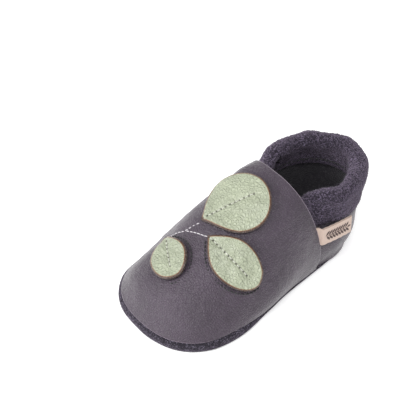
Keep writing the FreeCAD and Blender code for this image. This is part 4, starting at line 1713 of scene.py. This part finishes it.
@dataclass
class Leaf:
    """One leaf patch, held only by the seam down its middle."""

    shop: Workshop
    name: str
    base: tuple[float, float]
    aim: tuple[float, float]
    length: float
    width: float
    flank: int
    widest: float = 0.52
    thick: float = 1.9
    thinned: float = 0.45
    thin_band: float = 0.9
    stand_off: float = 0.25
    curl: float = 0.9
    curl_band: float = 5.5
    press: float = 0.35
    press_width: float = 1.3
    press_run: float = 3.0
    swell: Ripple = Ripple(7.0, 0.12, 51)
    burnt_band: float = 0.74
    amber_band: float = 1.10
    pitch: float = 2.5
    stitch: float = 1.5
    hole_size: tuple[float, float] = (0.42, 0.38)
    hole_depth: float = 0.55
    rib_start: float = 2.5
    rib_reach: float = 0.78
    outline_pitch: float = 2.0
    outline_stitch: float = 1.0
    outline_gap: float = 1.6
    outline_reach: float = 1.6

    def plane(self) -> tuple[Array, Array, Array, Array]:
        """Base point, direction to the tip, direction across and normal of the flat pattern.

        Returns:
            Base point and the three directions.
        """
        middle = (np.array(self.base) + np.array(self.aim)) / 2.0
        normal = normals_of(FORM.vamp, middle[:1], middle[1:])[0]
        origin = FORM.vamp(np.array(self.base[0]), np.array(self.base[1]))
        ray = FORM.vamp(np.array(self.aim[0]), np.array(self.aim[1])) - origin
        along = unit(ray - normal * (ray @ normal))
        return origin, along, np.cross(normal, along), normal

    def on_vamp(self, x: Array, y: Array) -> tuple[Array, Array]:
        """Vamp parameters under points of the flat pattern.

        Args:
            x: Distances along the leaf.
            y: Distances across it.

        Returns:
            The two vamp parameters of each place.
        """
        origin, along, across, _ = self.plane()
        a, s = np.full_like(x, self.base[0]), np.full_like(x, self.base[1])

        def miss(a: Array, s: Array, share: float) -> tuple[Array, Array]:
            """How far a place on the vamp is from the wanted place in the pattern."""
            ray = FORM.vamp(a, s) - origin
            return ray @ along - x * share, ray @ across - y * share
        for share in np.linspace(0.1, 1.0, 10):
            for _ in range(4):
                fx, fy = miss(a, s, share)
                ax, ay = miss(a + STEP, s, share)
                sx, sy = miss(a, s + STEP, share)
                ax, ay, sx, sy = ((ahead - here) / STEP for ahead, here in
                                  ((ax, fx), (ay, fy), (sx, fx), (sy, fy)))
                det = ax * sy - sx * ay
                a = a - (fx * sy - sx * fy) / det
                s = s - (ax * fy - fx * ay) / det
        return a, s

    def outline(self, count: int) -> tuple[Array, Array]:
        """Stations along the leaf and its half width at each.

        Args:
            count: Number of steps in each half of the leaf.

        Returns:
            Stations and half widths.
        """
        t = np.linspace(0.0, 1.0, count) ** 1.15
        half, reach = self.width / 2.0, self.widest * self.length
        px = np.array([0.0, 0.18 * self.length, 0.30 * self.length, reach])
        py = np.array([0.0, 0.55 * half, half, half])
        blend = np.stack([(1 - t) ** 3, 3 * t * (1 - t) ** 2, 3 * t * t * (1 - t), t ** 3])
        q = np.linspace(0.0, math.pi / 2.0, count)[1:]
        x = np.concatenate([px @ blend, reach + (self.length - reach) * np.sin(q)])
        y = np.concatenate([py @ blend, half * np.cos(q)])
        return x, y

    def rib_places(self) -> Array:
        """Stations of the midrib stitches."""
        count = int((self.rib_reach * self.length - self.rib_start) / self.pitch) + 1
        return self.rib_start + self.pitch * np.arange(count)

    def border(self, x: Array, y: Array, stations: Array, half: Array) -> Array:
        """Distance of each place in the pattern from its outline.

        Args:
            x: Distances along the leaf.
            y: Distances across it.
            stations: Stations of the outline.
            half: Half width at each station.

        Returns:
            Distance from the outline at each place.
        """
        rim_x = np.concatenate([stations, stations[::-1]])
        rim_y = np.concatenate([half, -half[::-1]])
        border = np.sqrt((x[..., None] - rim_x) ** 2 + (y[..., None] - rim_y) ** 2).min(-1)
        border[:, 0] = border[:, -1] = 0.0
        return border

    def holes(self, x: Array, y: Array) -> Array:
        """1 at the needle holes of the midrib, falling to 0 round them.

        Args:
            x: Distances along the leaf.
            y: Distances across it.

        Returns:
            Share of a hole at each place.
        """
        rib = self.rib_places()
        gaps = np.concatenate([rib - self.pitch / 2.0, rib[-1:] + self.pitch / 2.0])
        near = np.abs(x[..., None] - gaps).min(-1)
        long, wide = self.hole_size
        return np.exp(-((near / long) ** 2 + (y / wide) ** 2))

    def skins(self, x: Array, y: Array, border: Array, hole: Array) -> tuple[Array, Array]:
        """Face and back of the patch, curled at the edge and pressed down by the midrib.

        Args:
            x: Stations along the leaf.
            y: Places across it.
            border: Distance from the outline.
            hole: Needle holes, 0 to 1.

        Returns:
            Points of the face and of the back.
        """
        a, s = self.on_vamp(x.reshape(-1), y.reshape(-1))
        floor = FORM.vamp(a, s).reshape(*x.shape, 3)
        up = normals_of(FORM.vamp, a, s).reshape(*x.shape, 3)
        rib_end = self.rib_reach * self.length + self.press_run
        pressed = np.exp(-(y / self.press_width) ** 2) * ease((rib_end - x) / self.press_run)
        curl = self.curl * ease((self.curl_band - border) / self.curl_band) * ease(x / 8.0)
        lift = (FORM.layer_gap + curl + self.swell.at(floor) - self.press * pressed
                + self.stand_off)
        crown = self.thick - self.thinned * ease((self.thin_band - border) / self.thin_band)
        face = floor + up * (lift + crown - self.hole_depth * hole)[..., None]
        return face, floor + up * lift[..., None]

    def patch(self) -> None:
        """The leather patch with its curled, burnt edge."""
        stations, half = self.outline(64)
        across = np.sin(np.linspace(-math.pi / 2.0, math.pi / 2.0, 96))
        x = np.repeat(stations[:, None], len(across), 1)
        y = half[:, None] * across[None]
        border, hole = self.border(x, y, stations, half), self.holes(x, y)
        top, low = self.skins(x, y, border, hole)
        upper, lower = (low + (top - low) * share for share in (0.66, 0.33))
        ring = np.concatenate([top, upper[:, -1:], lower[:, -1:], low[:, ::-1],
                               lower[:, :1], upper[:, :1]], 1)
        plan = np.stack([x, y], -1)
        flat = np.concatenate([plan, np.repeat(plan[:, -1:], 2, 1), plan[:, ::-1],
                               np.repeat(plan[:, :1], 2, 1)], 1)

        def round_ring(face: Array, wall: float, back: float) -> Array:
            """Values for face, wall, back and wall, in the order of the ring."""
            walls = np.full((len(x), 2), wall)
            return np.concatenate([face, walls, np.full(x.shape, back), walls], 1)
        draft = Draft(self.name + "_leather")
        # The hole value also paints the needle holes near black in the finish: painted shade.
        draft.grid(ring, flat, around=True, inside=np.zeros(ring.shape[:2]),
                   edge=round_ring(clamp((self.burnt_band - border) / 0.16), 1.0, 1.0),
                   rim=round_ring(clamp((self.amber_band - border) / 0.25), 1.0, 0.0),
                   hole=round_ring(clamp(hole * 1.3), 0.0, 0.0))
        if self.turned(top):
            draft.faces = [face[::-1] for face in draft.faces]
        self.shop.finish(draft.build(0.01), Slot.LEAF, SAGE, [self.name])

    def turned(self, top: Array) -> bool:
        """Whether the grid's faces point into the vamp."""
        i, j = top.shape[0] // 2, top.shape[1] // 2
        way = np.cross(top[i + 1, j] - top[i, j], top[i, j + 1] - top[i, j])
        return bool(way @ self.plane()[3] < 0.0)

    def midrib(self) -> None:
        """Seam down the middle of the leaf."""
        rib = self.rib_places()
        a, s = self.on_vamp(rib, np.zeros_like(rib))
        up = normals_of(FORM.vamp, a, s)
        along = np.tile(self.plane()[1], (len(rib), 1))
        lift = FORM.layer_gap + self.thick - 0.05
        self.shop.sew(self.name + "_midrib", FORM.vamp(a, s) + up * lift, along, up,
                      RIB, Slot.PALE_THREAD, self.stitch, thread=0.2, rise=0.2, sink=0.3,
                      node=self.name + "_midrib_stitches")

    def flank_seam(self) -> None:
        """Dark seam in the vamp, beside one flank of the leaf."""
        stations, half = self.outline(200)
        ring = np.stack([np.concatenate([stations, stations[::-1]]),
                         np.concatenate([half, -half[::-1]])], -1)
        way = unit(np.roll(ring, -1, 0) - np.roll(ring, 1, 0))
        ring = ring + np.stack([-way[:, 1], way[:, 0]], -1) * self.outline_gap
        reach = run_lengths(ring)
        spots = np.arange(0.0, reach[-1], self.outline_pitch)
        x, y = (np.interp(spots, reach, ring[:, k]) for k in (0, 1))
        keep = (y * self.flank > -self.outline_reach) & (x > 0.0)
        a, s = self.on_vamp(x[keep], y[keep])
        points, up = FORM.vamp(a, s), normals_of(FORM.vamp, a, s)
        self.shop.sew(self.name + "_outline", points + up * 0.05, np.gradient(points, axis=0),
                      up, DARK, Slot.DARK_THREAD, self.outline_stitch, thread=0.36,
                      rise=0.22, sink=0.1, node=self.name + "_outline_stitches")

    def build(self) -> None:
        """Make the patch and its seams."""
        self.patch()
        self.midrib()
        if self.flank:
            self.flank_seam()


@dataclass
class Sprig:
    """The three leaves and the stitched stems that join them."""

    shop: Workshop
    stem: tuple[tuple[float, float], ...] = (
        (0.534, 0.436), (0.554, 0.475), (0.573, 0.518), (0.610, 0.556), (0.634, 0.600))
    branch: tuple[tuple[float, float], ...] = (
        (0.473, 0.468), (0.502, 0.481), (0.536, 0.498), (0.566, 0.514))
    pitch: float = 2.2
    stitch: float = 1.5

    def run(self, name: str, route: Sequence[tuple[float, float]]) -> None:
        """A pale running seam along a route of vamp parameters.

        Args:
            name: Name of the piece.
            route: Vamp parameters of the points that it follows.
        """
        def spot(t: Array) -> tuple[Array, Array]:
            """Vamp parameters along the route."""
            return smooth([p[0] for p in route], t), smooth([p[1] for p in route], t)

        def path(t: Array) -> Array:
            """Points on the vamp along the route."""
            return FORM.vamp(*spot(t))
        places = even_places(path, 0.0, 1.0, self.pitch)
        up = normals_of(FORM.vamp, *spot(places))
        self.shop.sew(name, path(places) + up * 0.12,
                      path(places + STEP) - path(places - STEP), up, PALE, Slot.PALE_THREAD,
                      self.stitch, thread=0.26, rise=0.3, sink=0.2,
                      node=name.replace("_seam", "_stitches"))

    def build(self) -> None:
        """Make leaves and stems."""
        for leaf in (
                Leaf(self.shop, "large_leaf", (0.533, 0.430), (0.417, 0.090), 35.8, 31.2, 0),
                Leaf(self.shop, "middle_leaf", (0.472, 0.465), (0.168, 0.556), 33.4, 22.2, -1),
                Leaf(self.shop, "small_leaf", (0.634, 0.603), (0.436, 0.741), 25.6, 19.6, 1)):
            leaf.build()
        self.run("stem_seam", self.stem)
        self.run("branch_seam", self.branch)


@dataclass
class SideTag:
    """Folded tape tag, sewn in at its front end and free at its fold."""

    shop: Workshop
    hinge: tuple[float, float, float] = (28.604, 24.762, 22.7)
    length: float = 19.0
    height: float = 10.0
    tape: float = 0.45
    gap: float = 0.3
    stand_off: float = 4.0
    bow: float = 0.35
    wave: float = 0.12
    # Where the sewn-in end lies under the wing, seen from above.
    lead: tuple[tuple[float, float], ...] = (
        (25.55, 21.2), (25.6, 22.6), (25.85, 23.8), (26.75, 24.6))
    # Ends of a bend line, this far before the hinge and this far behind it; build works them out
    # and uses them for nothing.
    bend: tuple[float, float] = (-0.6, 2.4)
    leaflets: int = 8

    @property
    def ways(self) -> tuple[Array, Array]:
        """Directions along the tag and out from the bootie, seen from above."""
        turn = math.radians(self.stand_off)
        return (np.array([math.sin(turn), math.cos(turn)]),
                np.array([math.cos(turn), -math.sin(turn)]))

    def path(self, count: int) -> Array:
        """Centre line of the outer layer seen from above, then back along the inner one.

        Args:
            count: Number of points along the outer layer.

        Returns:
            Points of the centre line.
        """
        way, out = self.ways
        hinge = np.array(self.hinge[:2]) - out * self.tape / 2.0
        apart = self.tape + self.gap
        t = np.linspace(0.0, 1.0, count)
        front = hinge + way * (t[:, None] * (self.length - apart / 2.0 - self.tape / 2.0))
        front = front + out * (self.bow * np.sin(t * math.pi))[:, None]
        lead = np.array(self.lead)
        turns = np.linspace(0.0, math.pi, 9)[1:-1, None]
        fold = front[-1] - out * apart / 2.0 * (1.0 - np.cos(turns)) \
            + way * apart / 2.0 * np.sin(turns)
        back = (front - out * apart)[::-1]
        return np.concatenate([lead, front[1:], fold, back[:-1], (lead - [apart, 0.0])[::-1]])

    def tag(self) -> bpy.types.Object:
        """The folded tape.

        Returns:
            The new object.
        """
        line = self.path(46)
        way = unit(np.gradient(line, axis=0))
        out = np.stack([way[:, 1], -way[:, 0]], -1)
        rise, reach = np.linspace(0.0, 1.0, 30), run_lengths(line)
        skins = []
        for offset in (self.tape / 2.0, -self.tape / 2.0):
            grid = np.zeros((len(line), len(rise), 3))
            grid[..., :2] = (line + out * offset)[:, None]
            grid[..., 2] = self.hinge[2] + self.height * rise[None]
            grid[..., 2] += self.wave * np.sin(reach[:, None] * 1.9) * (rise[None] - 0.5) * 2.0
            skins.append(grid)
        plan = np.stack(np.meshgrid(reach, rise * self.height, indexing="ij"), -1)
        draft = Draft("tag_tape")
        laminate(draft, skins[0], skins[1], plan)
        return draft.build()

    def leaflet(self, draft: Draft, x: float, z: float, angle: float, long: float,
                wide: float) -> None:
        """Add one printed leaflet that starts at (x, z) on the tape.

        Args:
            draft: Draft that it is added to.
            x: Place along the tape.
            z: Height on the tape.
            angle: Angle that it leans at.
            long: Its length.
            wide: Its width.
        """
        way, out = self.ways
        t = np.linspace(0.0, 1.0, 12)
        edge = np.sin(math.pi * t) ** 0.8 * wide / 2.0
        side = np.stack([-edge, edge], -1)
        run = np.repeat((t * long)[:, None], 2, 1)
        c, s = math.cos(angle), math.sin(angle)
        xs, zs = x + run * c - side * s, z + run * s + side * c
        share = xs / (self.length - self.tape - self.gap / 2.0)
        xy = (np.array(self.hinge[:2]) + out * 0.03 + way * xs[..., None]
              + out * (self.bow * np.sin(share * math.pi))[..., None])
        points = np.concatenate([xy, (self.hinge[2] + zs)[..., None]], -1)
        draft.grid(points[:, ::-1], np.stack([xs, zs], -1))

    def mark(self) -> bpy.types.Object:
        """Plain printed sprig along the tag: a stalk with pairs of leaflets.

        Returns:
            The new object.
        """
        draft = Draft("tag_mark")
        middle = self.height / 2.0
        self.leaflet(draft, 1.6, middle, 0.0, 15.0, 0.6)
        for k in range(self.leaflets):
            x = 2.4 + 1.72 * k
            self.leaflet(draft, x, middle + 0.2, 0.95, 3.6, 1.3)
            self.leaflet(draft, x + 0.5, middle - 0.2, -0.95, 3.6, 1.3)
        self.leaflet(draft, 15.8, middle, 0.0, 2.4, 1.3)
        return draft.build(0.005)

    def build(self) -> None:
        """Make the tape and the mark on it."""
        tag, mark = self.tag(), self.mark()
        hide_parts("side_tag")
        x, y, z = self.hinge
        start, end = (tuple(Vector((x, y + shift, z)) * MM) for shift in self.bend)
        for piece, finish in ((tag, TAPE), (mark, PRINT)):
            piece.data.materials.append(material_of(finish))
            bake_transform(piece)
            LOG.info("%s: %d faces", piece.name, len(piece.data.polygons))


@dataclass
class Studio:
    """Pale floor, soft lights and the camera."""

    azimuth: float = 51.255
    elevation: float = 41.16
    distance: float = 0.800
    target: tuple[float, float, float] = (-0.0229, -0.0069, 0.030)
    lens: float = 136.4
    sky: float = 0.66
    # Each lamp: its name, place in metres, power in watts and width in metres.
    lamps: tuple[tuple[str, tuple[float, float, float], float, float], ...] = (
        ("key", (-0.32, -1.00, 0.66), 14.0, 0.9), ("fill", (0.44, -0.26, 0.93), 5.5, 0.45))
    floor_reach: float = 4.0

    def build(self) -> None:
        """Set up floor, light and view."""
        self.floor()
        self.lights()
        self.camera()

    def floor(self) -> None:
        """Large pale floor."""
        mesh = bpy.data.meshes.new("floor")
        reach = self.floor_reach
        mesh.from_pydata([(-reach, -reach, 0.0), (reach, -reach, 0.0), (reach, reach, 0.0),
                          (-reach, reach, 0.0)], [], [(0, 1, 2, 3)])
        plane = placed("floor", mesh)
        r = Recipe("pale floor")
        r.shine(Base_Color=(0.95, 0.95, 0.95), Roughness=0.9, Specular_IOR_Level=0.1,
                Emission_Color=(1.0, 1.0, 1.0), Emission_Strength=0.30)
        mesh.materials.append(r.material)

    def lights(self) -> None:
        """A pale sky and two large soft lamps."""
        world = bpy.data.worlds.new("studio")
        world.use_nodes = True
        backdrop = world.node_tree.nodes["Background"].inputs
        backdrop[0].default_value = (1.0, 1.0, 1.0, 1.0)
        backdrop[1].default_value = self.sky
        bpy.context.scene.world = world
        for name, place, power, size in self.lamps:
            lamp = bpy.data.lights.new(name, "AREA")
            lamp.energy, lamp.size = power, size
            thing = placed(name, lamp)
            thing.location = place
            away = Vector(place) - Vector(self.target)
            thing.rotation_euler = away.to_track_quat("Z", "Y").to_euler()

    def camera(self) -> None:
        """Camera that looks at the target from its direction."""
        az, el = math.radians(self.azimuth), math.radians(self.elevation)
        back = Vector((math.sin(az) * math.cos(el), -math.cos(az) * math.cos(el), math.sin(el)))
        lens = bpy.data.cameras.new("camera")
        lens.lens, lens.sensor_width = self.lens, 36.0
        lens.clip_start, lens.clip_end = 0.01, 20.0
        view = placed("camera", lens)
        view.location = Vector(self.target) + back * self.distance
        view.rotation_euler = back.to_track_quat("Z", "Y").to_euler()
        bpy.context.scene.camera = view


def main() -> None:
    """Build every sub-assembly in order and note the sizes."""
    logging.basicConfig(level=logging.INFO, format="%(name)s: %(message)s")
    bpy.context.scene.view_settings.view_transform = "Standard"
    shop = Workshop()
    for part in (Sole(shop), Upper(shop), Collar(shop), Sprig(shop), SideTag(shop), Studio()):
        part.build()
        LOG.info("%s built", type(part).__name__)


if __name__ == "__main__":
    main()
